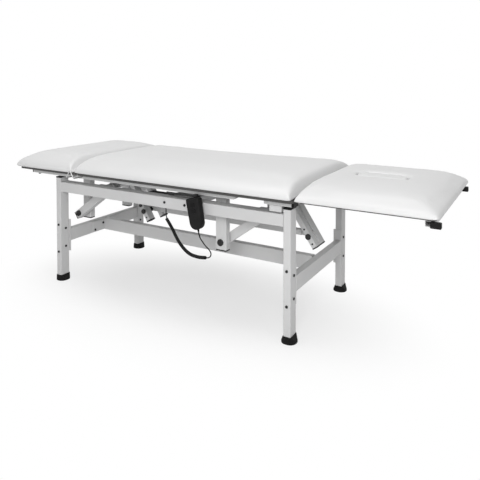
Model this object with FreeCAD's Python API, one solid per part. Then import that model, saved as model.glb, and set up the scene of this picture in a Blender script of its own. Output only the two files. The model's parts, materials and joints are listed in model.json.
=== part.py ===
import FreeCAD, Part
import math
import os

# Height-adjustable physiotherapy table, in millimetres.
# x runs along the table towards the face-hole end, y across it, z up from the floor.
# While a piece is made, x is counted from the middle between the legs.

Vec = FreeCAD.Vector
X = Vec(1, 0, 0)
Y = Vec(0, 1, 0)
Z = Vec(0, 0, 1)

# Driving dimensions of the base
LEG_SPREAD = 1240.0
BASE_DEPTH = 600.0
LEG_X = 30.0
LEG_Y = 50.0
LEG_TOP = 498.0
LEG_FOOT = 12.0
LEG_CAP = 5.0
CAP_LIP = 1.0
RAIL_TOP = 479.0
RAIL_HEIGHT = 47.0
LOW_TUBE_BOTTOM = 180.0
LOW_TUBE_HEIGHT = 60.0
SPINE_WIDTH = 30.0
TUBE_WALL = 2.0
TUBE_ROUND = 3.0
FIT = 0.1
RUN_FIT = 0.05
REST_GAP = 0.3
OVERRUN = 5.0
QUARTER_TURN = math.pi / 2
HEXAGON = 6

# Rubber boots
BOOT_BASE = 60.0
BOOT_HEIGHT = 27.0
BOOT_COLLAR = 2.5
BOOT_COLLAR_ROUND = 5.0
BOOT_LEVEL_SHARES = (0.0, 0.22, 0.62, 1.0)
BOOT_FLARE_SHARES = (0.97, 1.0, 0.45, 0.0)

# End plates between the low cross tubes and the legs
PLATE_THICK = 5.0
PLATE_X = 36.0
PLATE_BOTTOM = 134.0
PLATE_TOP = 287.0
PLATE_BOLT_LOW = 139.0
PLATE_BOLT_HIGH = 270.0
SIDE_BOLT_LOW = 162.0
SIDE_BOLT_HIGH = 249.0
SIDE_BOLT_INSET = 29.0

# Flanges that join the spine to the low cross tubes
FLANGE_THICK = 4.0
FLANGE_WIDTH = 190.0
FLANGE_MARGIN = 5.0
FLANGE_BOLT_FAR = 82.0
FLANGE_BOLT_NEAR = 26.0
FLANGE_BOLT_DROP = 16.0

# Button-head bolts
BOLT_HEAD = 11.0
BOLT_HEAD_HEIGHT = 3.5
BOLT_CROWN = 1.6
BOLT_SOCKET = 5.0
BOLT_SOCKET_DEPTH = 2.0

# Lifting linkage: two cranks, each with lever arms below and lifting arms outside
CRANK_X = (-358.0, 493.0)
CRANK_Z = 462.0
LEVER_ANGLE = -56.7
ARM_ANGLE = -144.3
LEVER_LENGTH = 161.0
ARM_LENGTH = 261.0
ROD_PIN_AT = 128.0
LEVER_TIP = 49.0
LEVER_THICK = 24.0
LEVER_CAP = 5.0
LEVER_SCREWS_AT = ((194.0,), (128.0, 194.0))
LEVER_SCREW = 7.0
LEVER_SCREW_HEIGHT = 2.0
ARM_TIP = 22.0
ARM_THICK = 36.0
ARM_BACK = 20.0
ARM_INNER = 164.0
ARM_WIDTH = 40.0
FORK_Y = ((-71.0, -31.0), (30.0, 70.0))
PAIR_Y = ((-45.0, -9.5), (1.5, 45.0))
SHAFT = 30.0
SHAFT_GAP = 2.0
STUB = 20.0
BEARING_THICK = 12.0
BEARING_X = 60.0
BEARING_Z = 40.0
BUSH_WALL = 4.0
BUSH_FLANGE = 1.5
BUSH_RIM = 3.0
POST_PIN = 20.0
PIN_CAP = 28.0
PIN_CAP_HEIGHT = 9.0
TIE_PIN = 14.0
TIE_CAP = 24.0
TIE_CAP_HEIGHT = 7.0
ROD_PIN = 12.0
CAP_ROUND = 2.5

# Tie bar between the cranks
TIE_Y = (-15.0, 7.0)
TIE_HEIGHT = 24.0
TIE_RISE = 4.0
TIE_START = 14.0
TIE_STOP = 44.0
LUG_Y = (-8.0, 0.0)
LUG_HEIGHT = 24.0
SPACER = 24.0

# Linear actuator
MOTOR_X = 80.0
MOTOR_Z = 450.0
ACT_Y = 19.0
ACT_BODY = 46.0
ACT_BODY_START = 34.0
ACT_BODY_LENGTH = 236.0
ACT_HEAD = 52.0
ACT_HEAD_LENGTH = 30.0
ACT_EYE = 30.0
ACT_EYE_WIDTH = 20.0
ACT_NECK = 26.0
ROD = 20.0
ROD_START = 60.0
ROD_EYE = 26.0
MOTOR = 40.0
MOTOR_SIDE = 45.0
MOTOR_LENGTH = 104.0
CLEVIS_THICK = 6.0
CLEVIS_GAP = 1.0
CLEVIS_DROP = 18.0
CLEVIS_TIP = 16.0
MEMBER_X = (104.0, 134.0)
MEMBER_HEIGHT = 36.0
MEMBER_PLATE_X = (28.0, 156.0)
MEMBER_BOLT_X = (40.0, 144.0)
MEMBER_BOLT_Z = 457.0

# Moving top frame
FRAME_BOTTOM = 508.0
FRAME_TUBE = 20.0
BOARD_THICK = 12.0
TOP_OVERHANG = 50.0
BOARD_INSET = 20.0
SIDE_TUBE_Y = 40.0
SIDE_TUBE_LEFT = -783.0
SIDE_TUBE_RIGHT = 400.0
SIDE_TUBE_SLOPE = 24.0
STUB_START = 510.0
STUB_SEAM_GAP = 22.0
TUBE_CAP = 10.0
SIDE_CAP = 5.0
POST_PIN_TO_EDGE = 23.0
POST_X = 50.0
POST_Y = 30.0
POST_DROP = 29.0
POST_CAP = 5.0
POST_SLEEVE = 3.0
POST_IN_LEFT = 124.0
POST_SIDE_GAP = 8.0
CROSS_X = 50.0
MID_CROSS_X = -150.0
LEFT_CROSS_X = -742.0
INNER_TUBE_Y = (90.0, 120.0)
END_CROSS_X = (533.0, 583.0)
END_CROSS_DROP = 23.0
BUMPER_X = -750.0
BUMPER = 12.0
BUMPER_HEIGHT = 6.0

# Sections of the top and their hinges
LEG_END = -862.0
HEAD_END = 1144.0
HEAD_SEAM = 645.0
SEAM_GAP = 5.0
HINGE_Z = 535.0
HINGE_BARREL = 10.0
HINGE_PIN = 5.0
HINGE_SPACE = 2.0
KNUCKLE = 40.0
HINGE_Y = (-230.0, 0.0, 230.0)
LEAF_LENGTH = 45.0
LEAF_THICK = 2.0

# Domed cushions: thickness and reach of the dome, and level and inset shares of the two
LEG_THICK = 72.0
LEG_REACH = 135.0
MIDDLE_THICK = 70.0
MIDDLE_REACH = 180.0
HEAD_THICK = 62.0
HEAD_REACH = 220.0
SEAM_REACH = 8.0
CORNER = 22.0
SEAM_CORNER = 10.0
BOARD_CORNER = 12.0
CORNER_GROWTH = 0.3
LEG_SEAM_LEAN = 27.0
HEAD_SEAM_LEAN = 13.5
LEVEL_SHARES = (0.0, 0.10, 0.20, 0.34, 0.48, 0.62, 0.75, 0.86, 0.94, 0.985, 1.0)
INSET_SHARES = (0.02, 0.0, 0.004, 0.027, 0.081, 0.169, 0.294, 0.4525, 0.632, 0.814, 1.0)

# Head section and face hole
HEAD_TUBE_Y = (130.0, 160.0)
HEAD_TUBE_START = 24.0
HEAD_CROSS_X = 30.0
HEAD_CROSS_Z = 20.0
HEAD_CROSS_SIDE = 45.0
HEAD_CROSS_INSET = 24.0
HEAD_CAP_INSET = 2.0
HEAD_CAP_LENGTH = 34.0
HEAD_CAP_WIDTH = 14.0
HEAD_BOARD_INSET = 46.0
HOLE_START = 770.0
HOLE_END = 970.0
HOLE_WIDTH = 100.0
HOLE_LEDGE = 9.0
PLUG_GAP = 1.0
PLUG_CROWN = 3.0
PLUG_LEVEL_SHARES = (0.0, 0.25, 0.88, 1.0)
PLUG_INSET_SHARES = (0.5, 0.0, 0.0, 1.0)

# Locking quadrants under the two end sections: one for the leg section, one for the head section
QUADRANT_Y = (0.0, 75.0)
QUADRANT_RADIUS = 66.0
QUADRANT_POST_GAP = 11.95
QUADRANT_WIDTH = 20.0
QUADRANT_THICK = 5.0
QUADRANT_TOP = -8.0
CLAMP_ANGLE = (-32.0, -65.0)
SECTION_DROP = (0.0, 40.0)
SECTION_RISE = (25.0, 25.0)
STOP_ANGLE = 1.0
QUADRANT_END = 7.0
CLAMP_BOLT = 8.0
CLAMP_GAP = 0.3
CLAMP_HALF = 11.0
CHEEK_THICK = 6.0
CLAMP_HEAD = 16.0
CLAMP_HEAD_THICK = 5.0
CHEEK_BACK = 20.0
FOOT_DEPTH = 12.0

# Release levers
LEVER_PLATE = 5.0
LEVER_PLATE_WIDTH = 22.0
LEVER_PLATE_LENGTH = 58.0
RELEASE_PIN = 6.0
RELEASE_EAR = 3.0
HEAD_RELEASE_X = 905.0
HEAD_RELEASE_SIDE = 88.0
LEG_RELEASE_X = -785.0
RELEASE_DROP = 9.0

# Handset, its hanger and its cable
HANDSET_TOP = (206.5, 500.0)
HANDSET_LEAN = 11.0
HANDSET_LENGTH = 125.0
HANDSET_WIDTH = 62.0
HANDSET_THICK = 26.0
HOOK_REACH = 10.0
HANDSET_ROUND = 9.0
HANDSET_EDGE = 4.0
BUTTON_WIDTH = 18.0
BUTTON_HEIGHT = 16.0
BUTTON_THICK = 3.0
BUTTON_PROUD = 1.6
BUTTON_ROUND = 3.0
BUTTON_AT = (26.0, 50.0)
BUTTON_GAP = 0.4
BUTTON_POCKET = 3.2
HANGER_BAR_X = (54.0, 192.0)
HANGER_BAR_Z = (497.0, 505.0)
HANGER_THICK = 4.0
HANGER_PLATE_X = (192.0, 222.0)
HANGER_PLATE_BOTTOM = 440.0
HOOK_WIDTH = 16.0
HOOK_TOP = 512.0
HOOK_BOTTOM = 470.0
CONTROL_X = (-96.0, 22.0)
CONTROL_DEPTH = 42.0
CONTROL_Z = (436.0, 476.0)
CONTROL_ROUND = 4.0
GLAND = 11.0
CABLE = 4.6
HOSE = 14.0
HOSE_BORE = 11.0
HOSE_RIB_PITCH = 3.2
HOSE_RIB_SHARES = (0.18, 0.34, 0.66, 0.82)
RUN_SHARE = 0.45
RELIEF = 9.0
RELIEF_LENGTH = 14.0

# Route of the corrugated hose, from under the rail to its open lower end
HOSE_ROUTE = [
    (-4, -231, 366), (24, -236, 339), (50, -244, 312), (71, -252, 291), (101, -263, 272),
    (134, -276, 259), (166, -289, 254), (199, -301, 256), (231, -312, 260), (262, -322, 268),
]
# The cable comes down to the hose from the control unit, and goes on to the handset in one loose loop
LEAD_ROUTE = [(-11, -226, 427), (-11, -226, 396)]
LOOP_ROUTE = [
    (277, -327, 271), (292, -332, 280), (298, -336, 296), (289, -338, 310), (271, -335, 319),
    (253, -331, 333),
]
LAST_RUN = 16.0

# Strap loops of bent wire at the sides
WIRE = 5.0
WIRE_BEND = 6.0
LOOP_X = -462.0
LOOP_BASE = 46.0
LOOP_RISE = 36.0
LOOP_DROP = 9.0
LOOP_CLEAR = 4.0

# Places worked out from the driving dimensions
LEG_OUT = LEG_SPREAD / 2
LEG_IN = LEG_OUT - LEG_X
SIDE_OUT = BASE_DEPTH / 2
SIDE_IN = SIDE_OUT - LEG_Y
RAIL_BOTTOM = RAIL_TOP - RAIL_HEIGHT
LOW_TUBE_TOP = LOW_TUBE_BOTTOM + LOW_TUBE_HEIGHT
FRAME_TOP = FRAME_BOTTOM + FRAME_TUBE
BOARD_TOP = FRAME_TOP + BOARD_THICK
TOP_HALF = SIDE_OUT + TOP_OVERHANG
POST_IN_RIGHT = SIDE_IN - POST_SIDE_GAP - POST_Y
HEAD_CROSS_HALF = TOP_HALF - HEAD_CROSS_SIDE
HEAD_RELEASE_Y = TOP_HALF - HEAD_RELEASE_SIDE
HANDSET_BACK_Y = -SIDE_OUT - HANGER_THICK - HOOK_REACH
LEVER_END = LEVER_LENGTH + LEVER_TIP
CENTRE_X = (LEG_END + HEAD_END) / 2
ARM_PIN_X = ARM_LENGTH * math.cos(math.radians(ARM_ANGLE))
POST_PIN_Z = CRANK_Z + ARM_LENGTH * math.sin(math.radians(ARM_ANGLE))
POST_PINS_X = tuple(x + ARM_PIN_X for x in CRANK_X)
POST_BOTTOM = POST_PIN_Z - POST_DROP
LEVER_PIN_X = LEVER_LENGTH * math.cos(math.radians(LEVER_ANGLE))
LEVER_PIN_Z = CRANK_Z + LEVER_LENGTH * math.sin(math.radians(LEVER_ANGLE))
ROD_PIN_X = CRANK_X[0] + ROD_PIN_AT * math.cos(math.radians(LEVER_ANGLE))
ROD_PIN_Z = CRANK_Z + ROD_PIN_AT * math.sin(math.radians(LEVER_ANGLE))
POST_LEFT_X = (POST_PINS_X[0] - POST_PIN_TO_EDGE, POST_PINS_X[0] - POST_PIN_TO_EDGE + POST_X)
POST_RIGHT_X = (POST_PINS_X[1] - POST_PIN_TO_EDGE, POST_PINS_X[1] - POST_PIN_TO_EDGE + POST_X)
LEG_SEAM = POST_LEFT_X[1] + QUADRANT_POST_GAP + QUADRANT_RADIUS + QUADRANT_WIDTH / 2
STUB_TUBE_X = (STUB_START, HEAD_SEAM - STUB_SEAM_GAP)
HEAD_TUBE_END = HEAD_END - HEAD_CROSS_INSET - HEAD_CROSS_X
HINGE_EDGE = HINGE_BARREL / 2 + HINGE_SPACE


def box(x, y, z):
    """Box between two limits along each axis."""
    low = Vec(min(x), min(y), min(z))
    return Part.makeBox(abs(x[1] - x[0]), abs(y[1] - y[0]), abs(z[1] - z[0]), low)


def rod(radius, length, place, axis):
    """Cylinder from a point along an axis."""
    return Part.makeCylinder(radius, length, place, axis)


def rounded(solid, radius, axis):
    """Rounds the edges that run along an axis."""
    edges = []
    for edge in solid.Edges:
        if len(edge.Vertexes) == 2:
            run = edge.Vertexes[1].Point - edge.Vertexes[0].Point
            if run.Length > 0 and abs(abs(run.normalize().dot(axis)) - 1) < Part.Precision.confusion():
                edges.append(edge)
    return solid.makeFillet(radius, edges)


def tube(x, y, z, axis):
    """Rectangular tube with rounded edges, open at both ends along its axis."""
    outer = rounded(box(x, y, z), TUBE_ROUND, axis)
    spans = []
    for span, unit in ((x, axis.x), (y, axis.y), (z, axis.z)):
        low, high = min(span), max(span)
        if unit:
            spans.append((low - OVERRUN, high + OVERRUN))
        else:
            spans.append((low + TUBE_WALL, high - TUBE_WALL))
    return outer.cut(box(*spans))


def mirror_y(y, side):
    """Span of y on one side of the middle."""
    return (side * y[0], side * y[1])


def group(solids):
    """Several separate solids in one node."""
    return Part.makeCompound(solids)


def rounded_rectangle(x, y, z, left_round, right_round):
    """Closed wire of lines and quarter arcs at one height."""
    x0, x1 = x
    y0, y1 = y
    corners = [
        (x0, y0, left_round, math.pi), (x1, y0, right_round, -QUARTER_TURN), (x1, y1, right_round, 0),
        (x0, y1, left_round, QUARTER_TURN),
    ]
    edges = []
    points = []
    for cx, cy, radius, start in corners:
        centre = Vec(cx + (radius if cx == x0 else -radius), cy + (radius if cy == y0 else -radius), z)
        turns = (start, start + QUARTER_TURN / 2, start + QUARTER_TURN)
        points.append([centre + Vec(math.cos(turn), math.sin(turn), 0) * radius for turn in turns])
    for i, (begin, middle, end) in enumerate(points):
        edges.append(Part.Arc(begin, middle, end).toShape())
        edges.append(Part.LineSegment(end, points[(i + 1) % len(points)][0]).toShape())
    return Part.Wire(edges)


def cushion(x, leans, thick, reach):
    """Domed cushion with a thin rolled edge; an end with a lean stands at a seam, where the sections fold."""
    wires = []
    for level, inset in zip(LEVEL_SHARES, INSET_SHARES):
        height = level * thick
        step = inset * reach
        seam_step = inset * SEAM_REACH
        ends = []
        rounds = []
        for lean in leans:
            if lean is None:
                ends.append(step)
                rounds.append(CORNER + CORNER_GROWTH * step)
            else:
                ends.append(seam_step + height * math.tan(math.radians(lean)))
                rounds.append(SEAM_CORNER + seam_step)
        span_x = (x[0] + ends[0], x[1] - ends[1])
        span_y = (-TOP_HALF + step, TOP_HALF - step)
        wires.append(rounded_rectangle(span_x, span_y, BOARD_TOP + height, rounds[0], rounds[1]))
    return Part.makeLoft(wires, True, True)


def board(x, bottom, inset):
    """Plywood board under a cushion, set in from the cushion's sides."""
    half = TOP_HALF - inset
    return rounded(box(x, (-half, half), (bottom, BOARD_TOP)), BOARD_CORNER, Z)


def oval(x, width, z):
    """Solid oval with round ends, standing between two heights."""
    radius = width / 2
    solid = box((x[0] + radius, x[1] - radius), (-radius, radius), z)
    for centre in (x[0] + radius, x[1] - radius):
        solid = solid.fuse(rod(radius, z[1] - z[0], Vec(centre, 0, z[0]), Z))
    return solid.removeSplitter()


def bolt_head(place, axis):
    """Button head with a hexagon socket, sitting on a face."""
    radius = BOLT_HEAD / 2
    head = rod(radius, BOLT_HEAD_HEIGHT, place, axis)
    top = [edge for edge in head.Edges if edge.Closed and (edge.CenterOfMass - place).dot(axis) > BOLT_CROWN]
    head = head.makeFillet(BOLT_CROWN, top)
    side = axis.cross(Z)
    if side.Length < BOLT_CROWN / BOLT_HEAD:
        side = X
    ring = []
    floor = place + axis * (BOLT_HEAD_HEIGHT - BOLT_SOCKET_DEPTH)
    for i in range(HEXAGON + 1):
        turn = FreeCAD.Rotation(axis, math.degrees(4 * QUARTER_TURN / HEXAGON * i))
        ring.append(floor + turn.multVec(side) * (BOLT_SOCKET / 2))
    socket = Part.Face(Part.makePolygon(ring)).extrude(axis * (BOLT_SOCKET_DEPTH + OVERRUN))
    return head.cut(socket)


def cap_disc(radius, height, place, axis):
    """Round cap with a softened outer rim."""
    disc = rod(radius, height, place, axis)
    rim = [edge for edge in disc.Edges if edge.Closed and (edge.CenterOfMass - place).dot(axis) > height / 2]
    return disc.makeFillet(CAP_ROUND, rim)


def leg(side_x, side_y):
    """Upright leg tube."""
    x = (side_x * LEG_OUT, side_x * LEG_IN)
    y = (side_y * SIDE_OUT, side_y * SIDE_IN)
    return tube(x, y, (LEG_FOOT, LEG_TOP), Z)


def leg_sides():
    """Signs of x and y at the four legs."""
    return [(side_x, side_y) for side_x in (-1, 1) for side_y in (-1, 1)]


def leg_middle(side_x, side_y):
    """Centre of a leg's section."""
    return (side_x * (LEG_OUT - LEG_X / 2), side_y * (SIDE_OUT - LEG_Y / 2))


def round_leg(side_x, side_y, margin):
    """Spans of x and y of a leg's section with a margin all round."""
    cx, cy = leg_middle(side_x, side_y)
    half_x = LEG_X / 2 + margin
    half_y = LEG_Y / 2 + margin
    return (cx - half_x, cx + half_x), (cy - half_y, cy + half_y)


def leg_caps():
    """Black plate on top of each leg."""
    caps = []
    for side_x, side_y in leg_sides():
        x, y = round_leg(side_x, side_y, CAP_LIP)
        caps.append(rounded(box(x, y, (LEG_TOP, LEG_TOP + LEG_CAP)), TUBE_ROUND, Z))
    return group(caps)


def rubber_boots():
    """Flared boots, each with a pocket for the end of its leg."""
    boots = []
    for side_x, side_y in leg_sides():
        cx, cy = leg_middle(side_x, side_y)
        wires = []
        for level, flare in zip(BOOT_LEVEL_SHARES, BOOT_FLARE_SHARES):
            half_x = LEG_X / 2 + BOOT_COLLAR + flare * (BOOT_BASE / 2 - LEG_X / 2 - BOOT_COLLAR)
            half_y = LEG_Y / 2 + BOOT_COLLAR + flare * (BOOT_BASE / 2 - LEG_Y / 2 - BOOT_COLLAR)
            corner = BOOT_COLLAR_ROUND + flare * (BOOT_BASE / 2 - BOOT_COLLAR_ROUND - BOOT_COLLAR)
            span_x = (cx - half_x, cx + half_x)
            span_y = (cy - half_y, cy + half_y)
            wires.append(rounded_rectangle(span_x, span_y, level * BOOT_HEIGHT, corner, corner))
        boot = Part.makeLoft(wires, True, True)
        x, y = round_leg(side_x, side_y, FIT)
        boots.append(boot.cut(box(x, y, (LEG_FOOT, BOOT_HEIGHT + OVERRUN))))
    return group(boots)


def side_rail(side_y):
    """Upper rail between two legs."""
    return tube((-LEG_IN, LEG_IN), (side_y * SIDE_OUT, side_y * SIDE_IN), (RAIL_BOTTOM, RAIL_TOP), X)


def low_cross_tube(side_x):
    """Low cross tube between the end plates of a front and a back leg."""
    half = SIDE_IN - PLATE_THICK
    return tube((side_x * LEG_OUT, side_x * LEG_IN), (-half, half), (LOW_TUBE_BOTTOM, LOW_TUBE_TOP), Y)


def spine_tube():
    """Low tube along the middle."""
    half = LEG_IN - FLANGE_THICK
    return tube((-half, half), (-SPINE_WIDTH / 2, SPINE_WIDTH / 2), (LOW_TUBE_BOTTOM, LOW_TUBE_TOP), X)


def end_plates():
    """Plates between the low cross tubes and the legs."""
    plates = []
    for side_x, side_y in leg_sides():
        x = (side_x * (LEG_OUT - CAP_LIP), side_x * (LEG_OUT - CAP_LIP - PLATE_X))
        y = (side_y * SIDE_IN, side_y * (SIDE_IN - PLATE_THICK))
        plates.append(box(x, y, (PLATE_BOTTOM, PLATE_TOP)))
    return group(plates)


def spine_flanges():
    """Flat flanges at the ends of the spine, cut round the spine's place on the cross tubes."""
    flanges = []
    for side_x in (-1, 1):
        x = (side_x * LEG_IN, side_x * (LEG_IN - FLANGE_THICK))
        half = FLANGE_WIDTH / 2
        z = (LOW_TUBE_BOTTOM + FLANGE_MARGIN, LOW_TUBE_TOP - FLANGE_MARGIN)
        flanges.append(rounded(box(x, (-half, half), z), FLANGE_MARGIN, X))
    return group(flanges)


def leg_bolts():
    """Bolts through the legs into the end plates and the cross tubes."""
    heads = []
    for side_x, side_y in leg_sides():
        cx, cy = leg_middle(side_x, side_y)
        for z in (PLATE_BOLT_LOW, PLATE_BOLT_HIGH):
            heads.append(bolt_head(Vec(cx, side_y * SIDE_OUT, z), Y * side_y))
        for z in (SIDE_BOLT_LOW, SIDE_BOLT_HIGH):
            y = side_y * (SIDE_OUT - SIDE_BOLT_INSET)
            heads.append(bolt_head(Vec(side_x * LEG_OUT, y, z), X * side_x))
            heads.append(bolt_head(Vec(side_x * LEG_IN, y, z), X * -side_x))
    return group(heads)


def rail_bolts():
    """Bolts that hold the actuator's cross member to the rails."""
    heads = []
    for side_y in (-1, 1):
        for x in MEMBER_BOLT_X:
            heads.append(bolt_head(Vec(x, side_y * SIDE_OUT, MEMBER_BOLT_Z), Y * side_y))
    return group(heads)


def flange_bolts():
    """Bolts of the spine's flanges."""
    heads = []
    middle = LOW_TUBE_BOTTOM + LOW_TUBE_HEIGHT / 2
    for side_x in (-1, 1):
        x = side_x * (LEG_IN - FLANGE_THICK)
        for y, drop in ((-FLANGE_BOLT_FAR, FLANGE_BOLT_DROP), (-FLANGE_BOLT_NEAR, -FLANGE_BOLT_DROP / 2),
                        (FLANGE_BOLT_NEAR, -FLANGE_BOLT_DROP / 2), (FLANGE_BOLT_FAR, FLANGE_BOLT_DROP)):
            heads.append(bolt_head(Vec(x, y, middle - drop), X * -side_x))
    return group(heads)


def bearing_places():
    """Crank x and side of each shaft bearing."""
    return [(x, side_y) for x in CRANK_X for side_y in (-1, 1)]


def bearing_blocks():
    """Blocks on the inner faces of the rails that carry the crank shafts."""
    blocks = []
    for x, side_y in bearing_places():
        y = (side_y * SIDE_IN, side_y * (SIDE_IN - BEARING_THICK))
        z = (CRANK_Z - BEARING_Z / 2, RAIL_TOP)
        block = rounded(box((x - BEARING_X / 2, x + BEARING_X / 2), y, z), CONTROL_ROUND, Y)
        place = Vec(x, side_y * SIDE_IN, CRANK_Z)
        bore = rod(STUB / 2 + BUSH_WALL + RUN_FIT, BEARING_THICK + OVERRUN, place, Y * -side_y)
        blocks.append(block.cut(bore))
    return group(blocks)


def bearing_bushes():
    """Flanged plain bushes in the blocks."""
    bushes = []
    for x, side_y in bearing_places():
        place = Vec(x, side_y * SIDE_IN, CRANK_Z)
        inward = Y * -side_y
        bush = rod(STUB / 2 + BUSH_WALL, BEARING_THICK, place, inward)
        rim_place = place + inward * BEARING_THICK
        bush = bush.fuse(rod(STUB / 2 + BUSH_WALL + BUSH_RIM, BUSH_FLANGE, rim_place, inward))
        bore = rod(STUB / 2 + RUN_FIT, BEARING_THICK + BUSH_FLANGE + OVERRUN, place, inward)
        bushes.append(bush.cut(bore).removeSplitter())
    return group(bushes)


def actuator_member():
    """Cross member between the rails with end plates and the clevis of the actuator."""
    half = SIDE_IN - PLATE_THICK
    z = (MOTOR_Z - MEMBER_HEIGHT / 2, MOTOR_Z + MEMBER_HEIGHT / 2)
    solid = tube(MEMBER_X, (-half, half), z, Y)
    for side_y in (-1, 1):
        y = (side_y * half, side_y * SIDE_IN)
        solid = solid.fuse(box(MEMBER_PLATE_X, y, z))
    inner = ACT_EYE_WIDTH / 2 + CLEVIS_GAP
    for side_y in (-1, 1):
        y = (ACT_Y + side_y * inner, ACT_Y + side_y * (inner + CLEVIS_THICK))
        ear = box((MOTOR_X, MEMBER_X[0]), y, (MOTOR_Z - CLEVIS_DROP, MOTOR_Z + CLEVIS_TIP))
        ear = ear.fuse(rod(CLEVIS_TIP, CLEVIS_THICK, Vec(MOTOR_X, min(y), MOTOR_Z), Y))
        ear = ear.cut(rod(ROD_PIN / 2 + FIT, CLEVIS_THICK + OVERRUN, Vec(MOTOR_X, min(y), MOTOR_Z), Y))
        solid = solid.fuse(ear)
    return solid.removeSplitter()


def actuator_rear_pin():
    """Pin through the clevis at the motor end, with a head at each side."""
    half = ACT_EYE_WIDTH / 2 + CLEVIS_GAP + CLEVIS_THICK
    pin = rod(ROD_PIN / 2, 2 * half, Vec(MOTOR_X, ACT_Y - half, MOTOR_Z), Y)
    for side_y in (-1, 1):
        place = Vec(MOTOR_X, ACT_Y + side_y * half, MOTOR_Z)
        pin = pin.fuse(rod(ROD_PIN / 2 + BUSH_RIM, BUSH_RIM, place, Y * side_y))
    return pin.removeSplitter()


def control_box():
    """Control unit on the inner face of the front rail, with the gland under it."""
    y = (-SIDE_IN, -SIDE_IN + CONTROL_DEPTH)
    solid = rounded(box(CONTROL_X, y, CONTROL_Z), CONTROL_ROUND, Z)
    return rounded(solid, CONTROL_ROUND / 2, X)


def cable_points():
    """Whole route of the handset cable: gland, hose, loop and handset."""
    start, down = handset_axis()
    relief = start + down * (HANDSET_LENGTH + RELIEF_LENGTH)
    return [Vec(*point) for point in LEAD_ROUTE + HOSE_ROUTE + LOOP_ROUTE] + [relief + down * LAST_RUN, relief]


def routed(points, bend=0):
    """Path of straight runs joined by tangent arcs, and its radii; with no bend each arc is as large as fits."""
    edges = []
    radii = []
    cursor = points[0]
    for before, corner, after in zip(points, points[1:], points[2:]):
        run_in = corner - before
        run_out = after - corner
        half_turn = run_in.getAngle(run_out) / 2
        radius = bend or RUN_SHARE * min(run_in.Length, run_out.Length) / math.tan(half_turn)
        cut = radius * math.tan(half_turn)
        radii.append(radius)
        into = Vec(run_in).normalize()
        out = Vec(run_out).normalize()
        start = corner - into * cut
        stop = corner + out * cut
        inward = (out - into).normalize()
        middle = corner + inward * (radius / math.cos(half_turn) - radius)
        edges.append(Part.LineSegment(cursor, start).toShape())
        edges.append(Part.Arc(start, middle, stop).toShape())
        cursor = stop
    edges.append(Part.LineSegment(cursor, points[-1]).toShape())
    return Part.Wire(edges), radii


def swept_tube(points, radius, name):
    """Round tube along a routed path; prints its radii and compares its volume."""
    path, radii = routed(points)
    ring = Part.Wire(Part.Circle(points[0], points[1] - points[0], radius).toShape())
    tube_solid = path.makePipeShell([ring], True, False)
    print(name, "length", round(path.Length, 1), "radii", [round(r) for r in radii])
    print(name, "volume ratio", round(tube_solid.Volume / (math.pi * radius ** 2 * path.Length), 4))
    return tube_solid


def handset_cable():
    """Cable from the control unit through the hose to the handset."""
    return swept_tube(cable_points(), CABLE / 2, "cable")


def cable_hose():
    """Corrugated hose: a ruled skin through four circles a rib, with a plain bore."""
    points = [Vec(*point) for point in HOSE_ROUTE]
    path, radii = routed(points)
    count = round(path.Length / HOSE_RIB_PITCH)
    pitch = path.Length / count
    places = [0.0]
    sizes = [HOSE_BORE / 2 + (HOSE - HOSE_BORE) / 4]
    valley = sizes[0]
    for i in range(count):
        for share, size in zip(HOSE_RIB_SHARES, (valley, HOSE / 2, HOSE / 2, valley)):
            places.append((i + share) * pitch)
            sizes.append(size)
    places.append(path.Length)
    sizes.append(valley)
    rings = [ring_at(path, place, size) for place, size in zip(places, sizes)]
    bores = [ring_at(path, place, HOSE_BORE / 2) for place in places[::2] + [path.Length]]
    hose = Part.makeLoft(rings, True, True).cut(Part.makeLoft(bores, True, True))
    print("hose length", round(path.Length, 1), "ribs", count, "radii", [round(r) for r in radii])
    return hose


def ring_at(path, distance, radius):
    """Circle square to the path at a distance along it, with its first point kept level."""
    edges = path.Edges
    for edge in edges:
        if distance <= edge.Length or edge.isSame(edges[-1]):
            break
        distance -= edge.Length
    parameter = edge.getParameterByLength(min(distance, edge.Length))
    place = edge.valueAt(parameter)
    along = edge.tangentAt(parameter)
    side = along.cross(Z).normalize()
    circle = Part.Circle()
    circle.Center = place
    circle.Axis = along
    circle.XAxis = side
    circle.Radius = radius
    return Part.Wire(circle.toShape())


def handset_axis():
    """Middle of the handset's top end and the direction down its length."""
    lean = math.radians(HANDSET_LEAN)
    start = Vec(HANDSET_TOP[0], HANDSET_BACK_Y - HANDSET_THICK / 2, HANDSET_TOP[1])
    return start, Vec(math.sin(lean), 0, -math.cos(lean))


def lay_on_handset(shape):
    """Moves a shape from the handset's own frame, where z runs up its length from its top end."""
    start, down = handset_axis()
    shape.rotate(Vec(0, 0, 0), Y, -HANDSET_LEAN)
    shape.translate(start)
    return shape


def button_cut(at, margin, y):
    """Block in the place of one button, counted down from the top end."""
    half = BUTTON_WIDTH / 2 + margin
    reach = BUTTON_HEIGHT / 2 + margin
    return rounded(box((-half, half), y, (-at - reach, -at + reach)), BUTTON_ROUND + margin, Y)


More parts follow.
